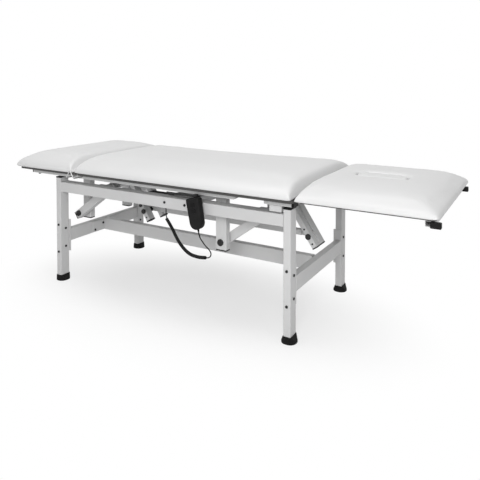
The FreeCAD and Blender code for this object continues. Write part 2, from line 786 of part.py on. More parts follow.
def handset():
    """Handset with a round lower end and a pocket for each button."""
    half = HANDSET_WIDTH / 2
    depth = HANDSET_THICK / 2
    top_left = Vec(-half + HANDSET_ROUND, 0, 0)
    points = [
        top_left, Vec(half - HANDSET_ROUND, 0, 0), Vec(half, 0, -HANDSET_ROUND),
        Vec(half - HANDSET_EDGE / 2, 0, half - HANDSET_LENGTH),
        Vec(HANDSET_EDGE / 2 - half, 0, half - HANDSET_LENGTH), Vec(-half, 0, -HANDSET_ROUND),
    ]
    slant = HANDSET_ROUND * (1 - math.cos(QUARTER_TURN / 2))
    bulge = Vec(0, 0, -HANDSET_LENGTH)
    edges = [
        Part.LineSegment(points[0], points[1]).toShape(),
        Part.Arc(points[1], Vec(half - slant, 0, -slant), points[2]).toShape(),
        Part.LineSegment(points[2], points[3]).toShape(),
        Part.Arc(points[3], bulge, points[4]).toShape(),
        Part.LineSegment(points[4], points[5]).toShape(),
        Part.Arc(points[5], Vec(slant - half, 0, -slant), points[0]).toShape(),
    ]
    face = Part.Face(Part.Wire(edges))
    face.translate(Y * -depth)
    body = face.extrude(Y * HANDSET_THICK)
    fronts = [edge for edge in body.Edges if abs(edge.CenterOfMass.y + depth) < FIT]
    body = body.makeFillet(HANDSET_EDGE, fronts)
    for at in BUTTON_AT:
        body = body.cut(button_cut(at, BUTTON_GAP, (-depth - OVERRUN, -depth + BUTTON_POCKET)))
    return lay_on_handset(body)


def handset_button(at):
    """One push button, standing a little proud of the handset's face."""
    front = -HANDSET_THICK / 2 - BUTTON_PROUD
    return lay_on_handset(button_cut(at, 0, (front, front + BUTTON_THICK)))


def handset_relief():
    """Tapered strain relief at the handset's lower end."""
    start, down = handset_axis()
    return Part.makeCone(RELIEF / 2, CABLE / 2 + FIT, RELIEF_LENGTH, start + down * HANDSET_LENGTH, down)


def control_gland():
    """Gland under the control unit."""
    return rod(GLAND / 2, CONTROL_Z[0] - LEAD_ROUTE[0][2], cable_points()[0], Z)


def handset_hanger():
    """Flat bar and plate on the front rail with the hook for the handset."""
    front = -SIDE_OUT - HANGER_THICK
    y = (front, -SIDE_OUT)
    plate = box(HANGER_PLATE_X, y, (HANGER_PLATE_BOTTOM, HANGER_BAR_Z[1]))
    bar = box(HANGER_BAR_X, y, HANGER_BAR_Z)
    middle = HANDSET_TOP[0]
    hook_y = (HANDSET_BACK_Y, -SIDE_OUT - HANGER_THICK)
    hook_x = (middle - HOOK_WIDTH / 2, middle + HOOK_WIDTH / 2)
    hook = box(hook_x, hook_y, (HOOK_BOTTOM, HOOK_TOP))
    return plate.fuse([bar, hook]).removeSplitter()


def bar_at(angle, start, end, y, height):
    """Tube along a direction in the xz plane, counted from a crank's axis at the origin."""
    shape = tube((start, end), y, (-height / 2, height / 2), X)
    shape.rotate(Vec(0, 0, 0), Y, -angle)
    return shape


def on_bar(angle, distance):
    """Point on a bar at a distance from the crank's axis."""
    turn = math.radians(angle)
    return Vec(distance * math.cos(turn), 0, distance * math.sin(turn))


def cross_hole(place, radius, y):
    """Cutter along y."""
    return rod(radius, abs(y[1] - y[0]) + 2 * OVERRUN, Vec(place.x, min(y) - OVERRUN, place.z), Y)


def at_crank(shape, which):
    """Moves a shape to the left or the right crank's axis."""
    shape.translate(Vec(CRANK_X[which], 0, CRANK_Z))
    return shape


def crank_shaft(which):
    """Crank shaft with a stub at each end."""
    half = SIDE_IN - BEARING_THICK - BUSH_FLANGE - SHAFT_GAP
    shaft = rod(SHAFT / 2, 2 * half, Vec(0, -half, 0), Y)
    reach = SIDE_IN - BUSH_FLANGE
    shaft = shaft.fuse(rod(STUB / 2, 2 * reach, Vec(0, -reach, 0), Y))
    return at_crank(shaft.removeSplitter(), which)


def lifting_arms(which):
    """Two lifting arms on a crank, outside its levers."""
    arms = []
    for side_y in (-1, 1):
        y = mirror_y((ARM_INNER, ARM_INNER + ARM_WIDTH), side_y)
        arm = bar_at(ARM_ANGLE, -ARM_BACK, ARM_LENGTH + ARM_TIP, y, ARM_THICK)
        arm = arm.cut(cross_hole(Vec(0, 0, 0), SHAFT / 2 + RUN_FIT, y))
        pin = on_bar(ARM_ANGLE, ARM_LENGTH)
        arms.append(arm.cut(cross_hole(pin, POST_PIN / 2 + RUN_FIT, y)))
    return at_crank(group(arms), which)


def arm_caps():
    """Black caps that close the tips of the lifting arms."""
    caps = []
    for which in (0, 1):
        for side_y in (-1, 1):
            y = mirror_y((ARM_INNER, ARM_INNER + ARM_WIDTH), side_y)
            start = ARM_LENGTH + ARM_TIP
            cap = box((start, start + LEVER_CAP), y, (-ARM_THICK / 2, ARM_THICK / 2))
            cap = rounded(cap, TUBE_ROUND, X)
            cap.rotate(Vec(0, 0, 0), Y, -ARM_ANGLE)
            caps.append(at_crank(cap, which))
    return caps


def lever(y, holes):
    """One lever tube with its holes: shaft, and pins at given distances."""
    part = bar_at(LEVER_ANGLE, -ARM_BACK, LEVER_END, y, LEVER_THICK)
    part = part.cut(cross_hole(Vec(0, 0, 0), SHAFT / 2 + RUN_FIT, y))
    for distance, diameter in holes:
        part = part.cut(cross_hole(on_bar(LEVER_ANGLE, distance), diameter / 2 + RUN_FIT, y))
    return keep_largest(part)


def keep_largest(shape):
    """The main solid of a cut tube."""
    return max(shape.Solids, key=lambda solid: solid.Volume)


def fork_levers():
    """Two levers of the left crank; the actuator and the tie bar lie between them."""
    holes = ((LEVER_LENGTH, TIE_PIN), (ROD_PIN_AT, ROD_PIN))
    return at_crank(group([lever(y, holes) for y in FORK_Y]), 0)


def pair_levers():
    """Two levers of the right crank, side by side."""
    return at_crank(group([lever(y, ((LEVER_LENGTH, TIE_PIN),)) for y in PAIR_Y]), 1)


def lever_caps(which, spans):
    """Black caps at the tips of a crank's levers, and their screws."""
    parts = []
    for y in spans:
        cap = box((LEVER_END, LEVER_END + LEVER_CAP), y, (-LEVER_THICK / 2, LEVER_THICK / 2))
        cap = rounded(cap, TUBE_ROUND, X)
        cap.rotate(Vec(0, 0, 0), Y, -LEVER_ANGLE)
        parts.append(cap)
    for distance in LEVER_SCREWS_AT[which]:
        place = on_bar(LEVER_ANGLE, distance)
        parts.append(rod(LEVER_SCREW / 2, LEVER_SCREW_HEIGHT, Vec(place.x, spans[0][0], place.z), Y * -1))
    return [at_crank(part, which) for part in parts]


def crank_end_caps(which, spans):
    """All black tip caps of one crank."""
    arms = arm_caps()
    return group(lever_caps(which, spans) + arms[2 * which:2 * which + 2])


def post_pins(which, reach):
    """Pins between a crank's lifting arms and the hanging posts, with round black heads."""
    pins = []
    for side_y in (-1, 1):
        y0, y1 = sorted(abs(value) for value in reach)
        axis = Y * side_y
        place = Vec(POST_PINS_X[which], side_y * y0, POST_PIN_Z)
        pins.append(rod(POST_PIN / 2, y1 - y0, place, axis))
    return pins


def arm_pins_left():
    """Pins at the tips of the left lifting arms, running in the left posts."""
    pins = post_pins(0, (POST_IN_LEFT - REST_GAP, ARM_INNER + ARM_WIDTH))
    for side_y in (-1, 1):
        place = Vec(POST_PINS_X[0], side_y * (ARM_INNER + ARM_WIDTH), POST_PIN_Z)
        pins.append(cap_disc(PIN_CAP / 2, PIN_CAP_HEIGHT, place, Y * side_y))
    return group(pins)


def arm_pins_right():
    """Pins at the tips of the right lifting arms, running in the right posts."""
    outside = POST_IN_RIGHT + POST_Y + RUN_FIT * 2
    pins = post_pins(1, (ARM_INNER, outside))
    for side_y in (-1, 1):
        place = Vec(POST_PINS_X[1], side_y * outside, POST_PIN_Z)
        pins.append(cap_disc(PIN_CAP / 2, SIDE_IN - outside - SHAFT_GAP, place, Y * side_y))
    return group(pins)


def pin_collars():
    """Spacer rings between the lifting arms and the posts."""
    rings = []
    gaps = ((POST_IN_LEFT + POST_Y, ARM_INNER), (ARM_INNER + ARM_WIDTH, POST_IN_RIGHT))
    for which, (start, stop) in enumerate(gaps):
        for side_y in (-1, 1):
            place = Vec(POST_PINS_X[which], side_y * (start + REST_GAP), POST_PIN_Z)
            length = stop - start - 2 * REST_GAP
            ring = rod(PIN_CAP / 2, length, place, Y * side_y)
            bore = rod(POST_PIN / 2 + RUN_FIT, length + OVERRUN, place, Y * side_y)
            rings.append(ring.cut(bore))
    return rings


def fork_pins():
    """Tie pin and rod pin through the fork, with round black heads in front."""
    y0 = FORK_Y[0][0]
    y1 = FORK_Y[1][1]
    tie = on_bar(LEVER_ANGLE, LEVER_LENGTH)
    rod_place = on_bar(LEVER_ANGLE, ROD_PIN_AT)
    parts = [
        rod(TIE_PIN / 2, y1 - y0, Vec(tie.x, y0, tie.z), Y),
        cap_disc(TIE_CAP / 2, TIE_CAP_HEIGHT, Vec(tie.x, y0, tie.z), Y * -1),
        rod(ROD_PIN / 2, TIE_Y[1] - y0, Vec(rod_place.x, y0, rod_place.z), Y),
        rod(ROD_PIN / 2, y1 - FORK_Y[1][0], Vec(rod_place.x, FORK_Y[1][0], rod_place.z), Y),
        cap_disc(ROD_PIN / 2 + BUSH_RIM, TIE_CAP_HEIGHT, Vec(rod_place.x, y0, rod_place.z), Y * -1),
    ]
    ring = rod(SPACER / 2, TIE_Y[0] - FORK_Y[0][1] - REST_GAP, Vec(tie.x, FORK_Y[0][1], tie.z), Y)
    parts.append(ring.cut(cross_hole(tie, TIE_PIN / 2 + RUN_FIT, FORK_Y[0])))
    return at_crank(group(parts), 0)


def pair_pin():
    """Tie pin through the right levers, with a round black head in front."""
    y0 = PAIR_Y[0][0]
    y1 = PAIR_Y[1][1]
    tie = on_bar(LEVER_ANGLE, LEVER_LENGTH)
    parts = [
        rod(TIE_PIN / 2, y1 - y0, Vec(tie.x, y0, tie.z), Y),
        cap_disc(TIE_CAP / 2, TIE_CAP_HEIGHT, Vec(tie.x, y0, tie.z), Y * -1),
    ]
    return at_crank(group(parts), 1)


def tie_bar():
    """Tie bar between the cranks, with a solid lug that enters the right levers."""
    left = CRANK_X[0] + LEVER_PIN_X
    right = CRANK_X[1] + LEVER_PIN_X
    middle = LEVER_PIN_Z + TIE_RISE
    z = (middle - TIE_HEIGHT / 2, middle + TIE_HEIGHT / 2)
    bar = tube((left - TIE_START, right - TIE_STOP), TIE_Y, z, X)
    sleeve = rod(TIE_PIN / 2 + POST_SLEEVE, TIE_Y[1] - TIE_Y[0], Vec(left, TIE_Y[0], LEVER_PIN_Z), Y)
    bar = bar.fuse(sleeve)
    lug_z = (middle - LUG_HEIGHT / 2, middle + LUG_HEIGHT / 2)
    lug = box((right - TIE_STOP - LUG_HEIGHT, right), LUG_Y, lug_z)
    lug = lug.fuse(rod(LUG_HEIGHT / 2, LUG_Y[1] - LUG_Y[0], Vec(right, LUG_Y[0], middle), Y))
    bar = bar.fuse(lug)
    for x in (left, right):
        bar = bar.cut(cross_hole(Vec(x, 0, LEVER_PIN_Z), TIE_PIN / 2 + RUN_FIT, TIE_Y))
    return bar.removeSplitter()


def actuator_frame(shape):
    """Moves a shape made along x from the motor pin to the actuator's own line."""
    angle = math.degrees(math.atan2(ROD_PIN_Z - MOTOR_Z, ROD_PIN_X - MOTOR_X))
    shape.rotate(Vec(0, 0, 0), Y, -angle)
    shape.translate(Vec(MOTOR_X, ACT_Y, MOTOR_Z))
    return shape


def actuator_tube():
    """Motor housing, eye and outer tube of the linear actuator."""
    half = ACT_EYE_WIDTH / 2
    eye = rod(ACT_EYE / 2, ACT_EYE_WIDTH, Vec(0, -half, 0), Y)
    neck = box((0, ACT_BODY_START), (-half, half), (-ACT_NECK / 2, ACT_NECK / 2))
    head = rod(ACT_HEAD / 2, ACT_HEAD_LENGTH, Vec(ACT_BODY_START, 0, 0), X)
    shoulder = ACT_BODY_START + ACT_HEAD_LENGTH
    body = rod(ACT_BODY / 2, ACT_BODY_LENGTH - ACT_HEAD_LENGTH, Vec(shoulder, 0, 0), X)
    motor = rod(MOTOR / 2, MOTOR_LENGTH, Vec(ACT_BODY_START, MOTOR_SIDE, 0), X)
    gears = box((ACT_BODY_START, shoulder), (0, MOTOR_SIDE), (-MOTOR / 2, MOTOR / 2))
    solid = eye.fuse([neck, head, body, motor, gears])
    reach = ACT_BODY_START + ACT_BODY_LENGTH
    bore = rod(ROD / 2 + RUN_FIT, reach - ROD_START + OVERRUN, Vec(ROD_START, 0, 0), X)
    solid = solid.cut(bore)
    solid = solid.cut(cross_hole(Vec(0, 0, 0), ROD_PIN / 2 + RUN_FIT, (-half, half)))
    return actuator_frame(solid.removeSplitter())


def actuator_rod():
    """Piston rod of the actuator, with a flat front eye and the middle piece of its pin."""
    reach = math.hypot(ROD_PIN_X - MOTOR_X, ROD_PIN_Z - MOTOR_Z)
    half = ROD / 2
    start = ROD_START + OVERRUN
    solid = rod(ROD / 2, reach - start, Vec(start, 0, 0), X)
    solid = solid.fuse(rod(ROD_EYE / 2, ROD, Vec(reach, -half, 0), Y))
    solid = solid.cut(cross_hole(Vec(reach, 0, 0), ROD_PIN / 2 + RUN_FIT, (-half, half)))
    pin = rod(ROD_PIN / 2, ROD, Vec(reach, -half, 0), Y)
    return actuator_frame(group([solid.removeSplitter(), pin]))


def side_tube(side_y):
    """Long side tube of the top frame, cut on a slant at its right end."""
    y = (side_y * SIDE_OUT, side_y * (SIDE_OUT - SIDE_TUBE_Y))
    part = tube((SIDE_TUBE_LEFT, SIDE_TUBE_RIGHT), y, (FRAME_BOTTOM, FRAME_TOP), X)
    wedge = Part.makePolygon([
        Vec(SIDE_TUBE_RIGHT, min(y) - OVERRUN, FRAME_TOP),
        Vec(SIDE_TUBE_RIGHT - SIDE_TUBE_SLOPE, min(y) - OVERRUN, FRAME_BOTTOM),
        Vec(SIDE_TUBE_RIGHT, min(y) - OVERRUN, FRAME_BOTTOM),
        Vec(SIDE_TUBE_RIGHT, min(y) - OVERRUN, FRAME_TOP),
    ])
    cutter = Part.Face(wedge).extrude(Y * (SIDE_TUBE_Y + 2 * OVERRUN))
    return part.cut(cutter)


def cross_tubes():
    """Cross tubes between the side tubes."""
    half = SIDE_OUT - SIDE_TUBE_Y
    tubes = []
    centres = [LEFT_CROSS_X, sum(POST_LEFT_X) / 2, MID_CROSS_X, sum(POST_RIGHT_X) / 2]
    for x in centres:
        span = (x - CROSS_X / 2, x + CROSS_X / 2)
        tubes.append(tube(span, (-half, half), (FRAME_BOTTOM, FRAME_TOP), Y))
    return group(tubes)


def stub_tubes():
    """Inner tubes and short side tubes that carry the board at the head end."""
    parts = []
    for side_y in (-1, 1):
        inner = (POST_RIGHT_X[1], STUB_TUBE_X[1])
        parts.append(tube(inner, mirror_y(INNER_TUBE_Y, side_y), (FRAME_BOTTOM, FRAME_TOP), X))
        y = (side_y * SIDE_OUT, side_y * (SIDE_OUT - SIDE_TUBE_Y))
        parts.append(tube(STUB_TUBE_X, y, (FRAME_BOTTOM, FRAME_TOP), X))
    return group(parts)


def end_cross_tube():
    """Cross tube under the head end of the frame, with closed ends."""
    z = (FRAME_BOTTOM - END_CROSS_DROP, FRAME_BOTTOM)
    solid = tube(END_CROSS_X, (-SIDE_OUT, SIDE_OUT), z, Y)
    for side_y in (-1, 1):
        y = (side_y * SIDE_OUT, side_y * (SIDE_OUT - TUBE_WALL))
        solid = solid.fuse(rounded(box(END_CROSS_X, y, z), TUBE_ROUND, Y))
    return solid.removeSplitter()


def frame_caps():
    """Black end caps of the frame's tubes and the small bumpers."""
    parts = []
    for side_y in (-1, 1):
        y = (side_y * SIDE_OUT, side_y * (SIDE_OUT - SIDE_TUBE_Y))
        left = (SIDE_TUBE_LEFT - SIDE_CAP, SIDE_TUBE_LEFT)
        right = (STUB_TUBE_X[1], STUB_TUBE_X[1] + TUBE_CAP)
        for x in (left, right):
            parts.append(rounded(box(x, y, (FRAME_BOTTOM, FRAME_TOP)), TUBE_ROUND, X))
        place = Vec(BUMPER_X, side_y * (SIDE_OUT - BUMPER), FRAME_BOTTOM)
        parts.append(cap_disc(BUMPER / 2, BUMPER_HEIGHT, place, Z * -1))
    return group(parts)


def hanging_posts(which):
    """Two posts that hang from the top frame, with a sleeve for the arm's pin."""
    x = (POST_LEFT_X, POST_RIGHT_X)[which]
    inner = (POST_IN_LEFT, POST_IN_RIGHT)[which]
    posts = []
    for side_y in (-1, 1):
        y = mirror_y((inner, inner + POST_Y), side_y)
        post = tube(x, y, (POST_BOTTOM, FRAME_BOTTOM), Z)
        place = Vec(POST_PINS_X[which], 0, POST_PIN_Z)
        sleeve = rod(POST_PIN / 2 + POST_SLEEVE, POST_Y, Vec(place.x, min(y), place.z), Y)
        post = post.fuse(sleeve).cut(cross_hole(place, POST_PIN / 2 + RUN_FIT, y))
        posts.append(post.removeSplitter())
    return group(posts)


def post_caps():
    """Black caps at the lower ends of the posts."""
    caps = []
    for x, inner in ((POST_LEFT_X, POST_IN_LEFT), (POST_RIGHT_X, POST_IN_RIGHT)):
        for side_y in (-1, 1):
            y = mirror_y((inner, inner + POST_Y), side_y)
            caps.append(rounded(box(x, y, (POST_BOTTOM - POST_CAP, POST_BOTTOM)), TUBE_ROUND, Z))
    return group(caps)


def strap_loops():
    """Triangular wire loops for a strap, one at each side of the frame."""
    loops = []
    z = FRAME_TOP - LOOP_DROP
    for side_y in (-1, 1):
        face = side_y * SIDE_OUT
        plane = side_y * (TOP_HALF + LOOP_CLEAR + WIRE / 2)
        feet = [Vec(LOOP_X + sign * LOOP_BASE / 2, face, z) for sign in (-1, 1)]
        low = [Vec(foot.x, plane, z) for foot in feet]
        apex = Vec(LOOP_X, plane, z + LOOP_RISE)
        path, radii = routed([feet[0], low[0], apex, low[1], feet[1]], WIRE_BEND)
        ring = Part.Wire(Part.Circle(feet[0], Y * side_y, WIRE / 2).toShape())
        loops.append(path.makePipeShell([ring], True, False))
    return group(loops)


def hinge_knuckles(seam, towards, outer, under):
    """Hinge leaves and knuckles of one side, under a board: the two outer knuckles, or the middle one."""
    parts = []
    third = KNUCKLE / 3
    for y in HINGE_Y:
        spans = ((y - KNUCKLE / 2, y - KNUCKLE / 2 + third), (y + KNUCKLE / 2 - third, y + KNUCKLE / 2))
        if not outer:
            spans = ((spans[0][1] + HINGE_SPACE / 2, spans[1][0] - HINGE_SPACE / 2),)
        for span in spans:
            knuckle = rod(HINGE_BARREL / 2, span[1] - span[0], Vec(seam, span[0], HINGE_Z), Y)
            start = seam + towards * HINGE_SPACE
            leaf = box((start, start + towards * LEAF_LENGTH), span, (under - LEAF_THICK, under))
            web = box((start, seam + towards * HINGE_EDGE), span, (under - LEAF_THICK, HINGE_Z))
            solid = knuckle.fuse([leaf, web])
            hole = cross_hole(Vec(seam, 0, HINGE_Z), HINGE_PIN / 2 + RUN_FIT, span)
            parts.append(solid.cut(hole).removeSplitter())
    return parts


def hinge_pins(seam):
    """Pins of the three hinges at one seam."""
    return [rod(HINGE_PIN / 2, KNUCKLE, Vec(seam, y - KNUCKLE / 2, HINGE_Z), Y) for y in HINGE_Y]


def middle_board():
    """Board under the middle cushion."""
    return board((LEG_SEAM + HINGE_EDGE, HEAD_SEAM - HINGE_EDGE), FRAME_TOP, BOARD_INSET)


def middle_cushion():
    """Long middle cushion."""
    x = (LEG_SEAM + SEAM_GAP / 2, HEAD_SEAM - SEAM_GAP / 2)
    return cushion(x, (0, HEAD_SEAM_LEAN), MIDDLE_THICK, MIDDLE_REACH)


def leg_board():
    """Board under the cushion of the leg section."""
    return board((LEG_END + BOARD_INSET, LEG_SEAM - HINGE_EDGE), FRAME_TOP + REST_GAP, BOARD_INSET)


def leg_cushion():
    """Cushion of the leg section."""
    return cushion((LEG_END, LEG_SEAM - SEAM_GAP / 2), (None, LEG_SEAM_LEAN), LEG_THICK, LEG_REACH)


def head_board():
    """Board under the head cushion, with the breathing hole."""
    plate = board((HEAD_SEAM + HINGE_EDGE, HEAD_END - BOARD_INSET), FRAME_TOP, HEAD_BOARD_INSET)
    span = (HOLE_START + HOLE_LEDGE, HOLE_END - HOLE_LEDGE)
    z = (FRAME_TOP - OVERRUN, BOARD_TOP + OVERRUN)
    return plate.cut(oval(span, HOLE_WIDTH - 2 * HOLE_LEDGE, z))


def head_cushion():
    """Head cushion with an oval breathing hole through it."""
    pad = cushion((HEAD_SEAM + SEAM_GAP / 2, HEAD_END), (HEAD_SEAM_LEAN, None), HEAD_THICK, HEAD_REACH)
    z = (BOARD_TOP - OVERRUN, BOARD_TOP + HEAD_THICK + OVERRUN)
    return pad.cut(oval((HOLE_START, HOLE_END), HOLE_WIDTH, z))


def face_plug():
    """Padded plug that fills the breathing hole and rests on the board's ledge."""
    wires = []
    for level, inset in zip(PLUG_LEVEL_SHARES, PLUG_INSET_SHARES):
        margin = PLUG_GAP + inset * PLUG_CROWN
        z = BOARD_TOP + REST_GAP + level * (HEAD_THICK - REST_GAP)
        radius = HOLE_WIDTH / 2 - margin
        span = (HOLE_START + margin, HOLE_END - margin)
        wires.append(rounded_rectangle(span, (-radius, radius), z, radius - FIT, radius - FIT))
    return Part.makeLoft(wires, True, True)


def head_side_tubes():
    """Tubes along the head section's board."""
    tubes = []
    for side_y in (-1, 1):
        x = (HEAD_SEAM + HEAD_TUBE_START, HEAD_TUBE_END)
        tubes.append(tube(x, mirror_y(HEAD_TUBE_Y, side_y), (FRAME_BOTTOM, FRAME_TOP), X))
    return group(tubes)


def head_cross_tube():
    """Cross tube at the outer end of the head section."""
    right = HEAD_END - HEAD_CROSS_INSET
    z = (FRAME_TOP - HEAD_CROSS_Z, FRAME_TOP)
    return tube((right - HEAD_CROSS_X, right), (-HEAD_CROSS_HALF, HEAD_CROSS_HALF), z, Y)


def head_caps():
    """Black corner caps at the ends of the head section's cross tube."""
    caps = []
    right = HEAD_END - HEAD_CAP_INSET
    z = (FRAME_TOP - HEAD_CROSS_Z, FRAME_TOP)
    for side_y in (-1, 1):
        y = (side_y * HEAD_CROSS_HALF, side_y * (HEAD_CROSS_HALF + HEAD_CAP_WIDTH))
        caps.append(rounded(box((right - HEAD_CAP_LENGTH, right), y, z), TUBE_ROUND, Y))
    return group(caps)


def hinge_point(which, angle, radius):
    """Point at a radius from a section's hinge, at an angle from the way the section lies."""
    turn = math.radians(angle)
    seam, away = ((LEG_SEAM, -1), (HEAD_SEAM, 1))[which]
    return Vec(seam + away * radius * math.cos(turn), QUADRANT_Y[which], HINGE_Z + radius * math.sin(turn))


def ring_sector(which, radius, width, low, high):
    """Flat ring about a hinge, between two angles."""
    seam = (LEG_SEAM, HEAD_SEAM)[which]
    y = QUADRANT_Y[which] - QUADRANT_THICK / 2
    centre = Vec(seam, y, HINGE_Z)
    ring = rod(radius + width / 2, QUADRANT_THICK, centre, Y)
    ring = ring.cut(rod(radius - width / 2, QUADRANT_THICK, centre, Y))
    far = 2 * radius
    corners = [hinge_point(which, angle, far) for angle in (low, (low + high) / 2, high)]
    outline = [centre] + [Vec(corner.x, y, corner.z) for corner in corners] + [centre]
    wedge = Part.Face(Part.makePolygon(outline)).extrude(Y * QUADRANT_THICK)
    return ring.common(wedge)


def quadrant(which, under):
    """Slotted quadrant plate that turns with a section about its hinge."""
    clamp = CLAMP_ANGLE[which]
    low = clamp - SECTION_RISE[which] - STOP_ANGLE
    high = clamp + SECTION_DROP[which] + STOP_ANGLE
    plate = ring_sector(which, QUADRANT_RADIUS, QUADRANT_WIDTH, low - QUADRANT_END, QUADRANT_TOP)
    seam, away = ((LEG_SEAM, -1), (HEAD_SEAM, 1))[which]
    half = QUADRANT_WIDTH / 2
    x = (seam + away * (QUADRANT_RADIUS - half), seam + away * (QUADRANT_RADIUS + half))
    y = (QUADRANT_Y[which] - QUADRANT_THICK / 2, QUADRANT_Y[which] + QUADRANT_THICK / 2)
    plate = plate.fuse(box(x, y, (under - FOOT_DEPTH, under)))
    slot = CLAMP_BOLT + 2 * CLAMP_GAP
    plate = plate.cut(ring_sector(which, QUADRANT_RADIUS, slot, low, high))
    for angle in (low, high):
        place = hinge_point(which, angle, QUADRANT_RADIUS)
        plate = plate.cut(cross_hole(place, slot / 2, y))
    return keep_largest(plate.removeSplitter())


def quadrant_clamp(which):
    """Two cheeks on the frame with the clamp bolt that runs in a quadrant's slot."""
    place = hinge_point(which, CLAMP_ANGLE[which], QUADRANT_RADIUS)
    low, high = place.z - CLAMP_HALF, place.z + CLAMP_HALF
    if which:
        right = place.x + CLAMP_HALF
        foot = END_CROSS_X[1]
        outline = [
            (foot, FRAME_BOTTOM), (foot, FRAME_BOTTOM - END_CROSS_DROP), (place.x - CLAMP_HALF, low),
            (right, low), (right, high), (foot + CHEEK_BACK, FRAME_BOTTOM),
        ]
    else:
        foot = POST_LEFT_X[1]
        left = foot - CHEEK_BACK
        right = place.x + CLAMP_HALF
        outline = [(left, FRAME_BOTTOM), (left, low), (right, low), (right, high), (foot, FRAME_BOTTOM)]
    inner = QUADRANT_THICK / 2 + CLAMP_GAP
    solids = []
    for side_y in (-1, 1):
        y = place.y + side_y * inner
        points = [Vec(x, y, z) for x, z in outline + outline[:1]]
        cheek = Part.Face(Part.makePolygon(points)).extrude(Y * side_y * CHEEK_THICK)
        solids.append(cheek.cut(cross_hole(place, CLAMP_BOLT / 2, (y, y + side_y * CHEEK_THICK))))
    reach = inner + CHEEK_THICK
    bolt = rod(CLAMP_BOLT / 2, 2 * reach, Vec(place.x, place.y - reach, place.z), Y)
    for side_y in (-1, 1):
        face = Vec(place.x, place.y + side_y * reach, place.z)
        bolt = bolt.fuse(rod(CLAMP_HEAD / 2, CLAMP_HEAD_THICK, face, Y * side_y))
    return solids + [bolt.removeSplitter()]


def release_place(which):
    """Pivot of a release lever and the turn that its length makes with x."""
    z = FRAME_TOP - RELEASE_DROP
    if which:
        return Vec(HEAD_RELEASE_X, HEAD_RELEASE_Y, z), QUARTER_TURN
    return Vec(LEG_RELEASE_X, 0, z), math.pi


def release_lever(which):
    """Hand lever that frees a quadrant's clamp: under the head section's back edge, or at the foot end."""
    pivot, turn = release_place(which)
    half = LEVER_PLATE_WIDTH / 2
    solid = box((0, LEVER_PLATE_LENGTH), (-half, half), (-LEVER_PLATE / 2, LEVER_PLATE / 2))
    solid = solid.fuse(rod(half, LEVER_PLATE, Vec(LEVER_PLATE_LENGTH, 0, -LEVER_PLATE / 2), Z))
    solid = solid.fuse(rod(RELEASE_PIN, LEVER_PLATE_WIDTH, Vec(0, -half, 0), Y))
    solid = solid.cut(rod(RELEASE_PIN / 2 + RUN_FIT, 2 * LEVER_PLATE_WIDTH, Vec(0, -LEVER_PLATE_WIDTH, 0), Y))
    solid = solid.removeSplitter()
    solid.rotate(Vec(0, 0, 0), Z, math.degrees(turn))
    solid.translate(pivot)
    return solid


def release_bracket(which, under):
    """Two ears and the pin that carry a release lever."""
    half = LEVER_PLATE_WIDTH / 2 + FIT
    parts = []
    for side_y in (-1, 1):
        y = (side_y * half, side_y * (half + RELEASE_EAR))
        parts.append(box((-RELEASE_PIN, RELEASE_PIN), y, (-RELEASE_PIN, under - FRAME_TOP + RELEASE_DROP)))
    pin = rod(RELEASE_PIN / 2, 2 * half, Vec(0, -half, 0), Y)
    solid = parts[0].fuse([parts[1], pin]).removeSplitter()
    pivot, turn = release_place(which)
    solid.rotate(Vec(0, 0, 0), Z, math.degrees(turn))
    solid.translate(pivot)
    return solid


def section_hinges():
    """Fixed halves of the hinges at both seams, with their pins."""
    parts = hinge_knuckles(LEG_SEAM, 1, True, FRAME_TOP) + hinge_pins(LEG_SEAM)
    return group(parts + hinge_knuckles(HEAD_SEAM, -1, True, FRAME_TOP) + hinge_pins(HEAD_SEAM))


def section_fittings(which):
    """What is screwed under a section's board: hinge leaves, quadrant and release bracket."""
    under = FRAME_TOP if which else FRAME_TOP + REST_GAP
    seam = (LEG_SEAM, HEAD_SEAM)[which]
    parts = hinge_knuckles(seam, (-1, 1)[which], False, under)
    return group(parts + [quadrant(which, under), release_bracket(which, under)])


def crank_pins(which):
    """All pins of one crank with their heads and collars."""
    if which:
        return group([arm_pins_right(), pair_pin()] + pin_collars()[2:])
    return group([arm_pins_left(), fork_pins()] + pin_collars()[:2])


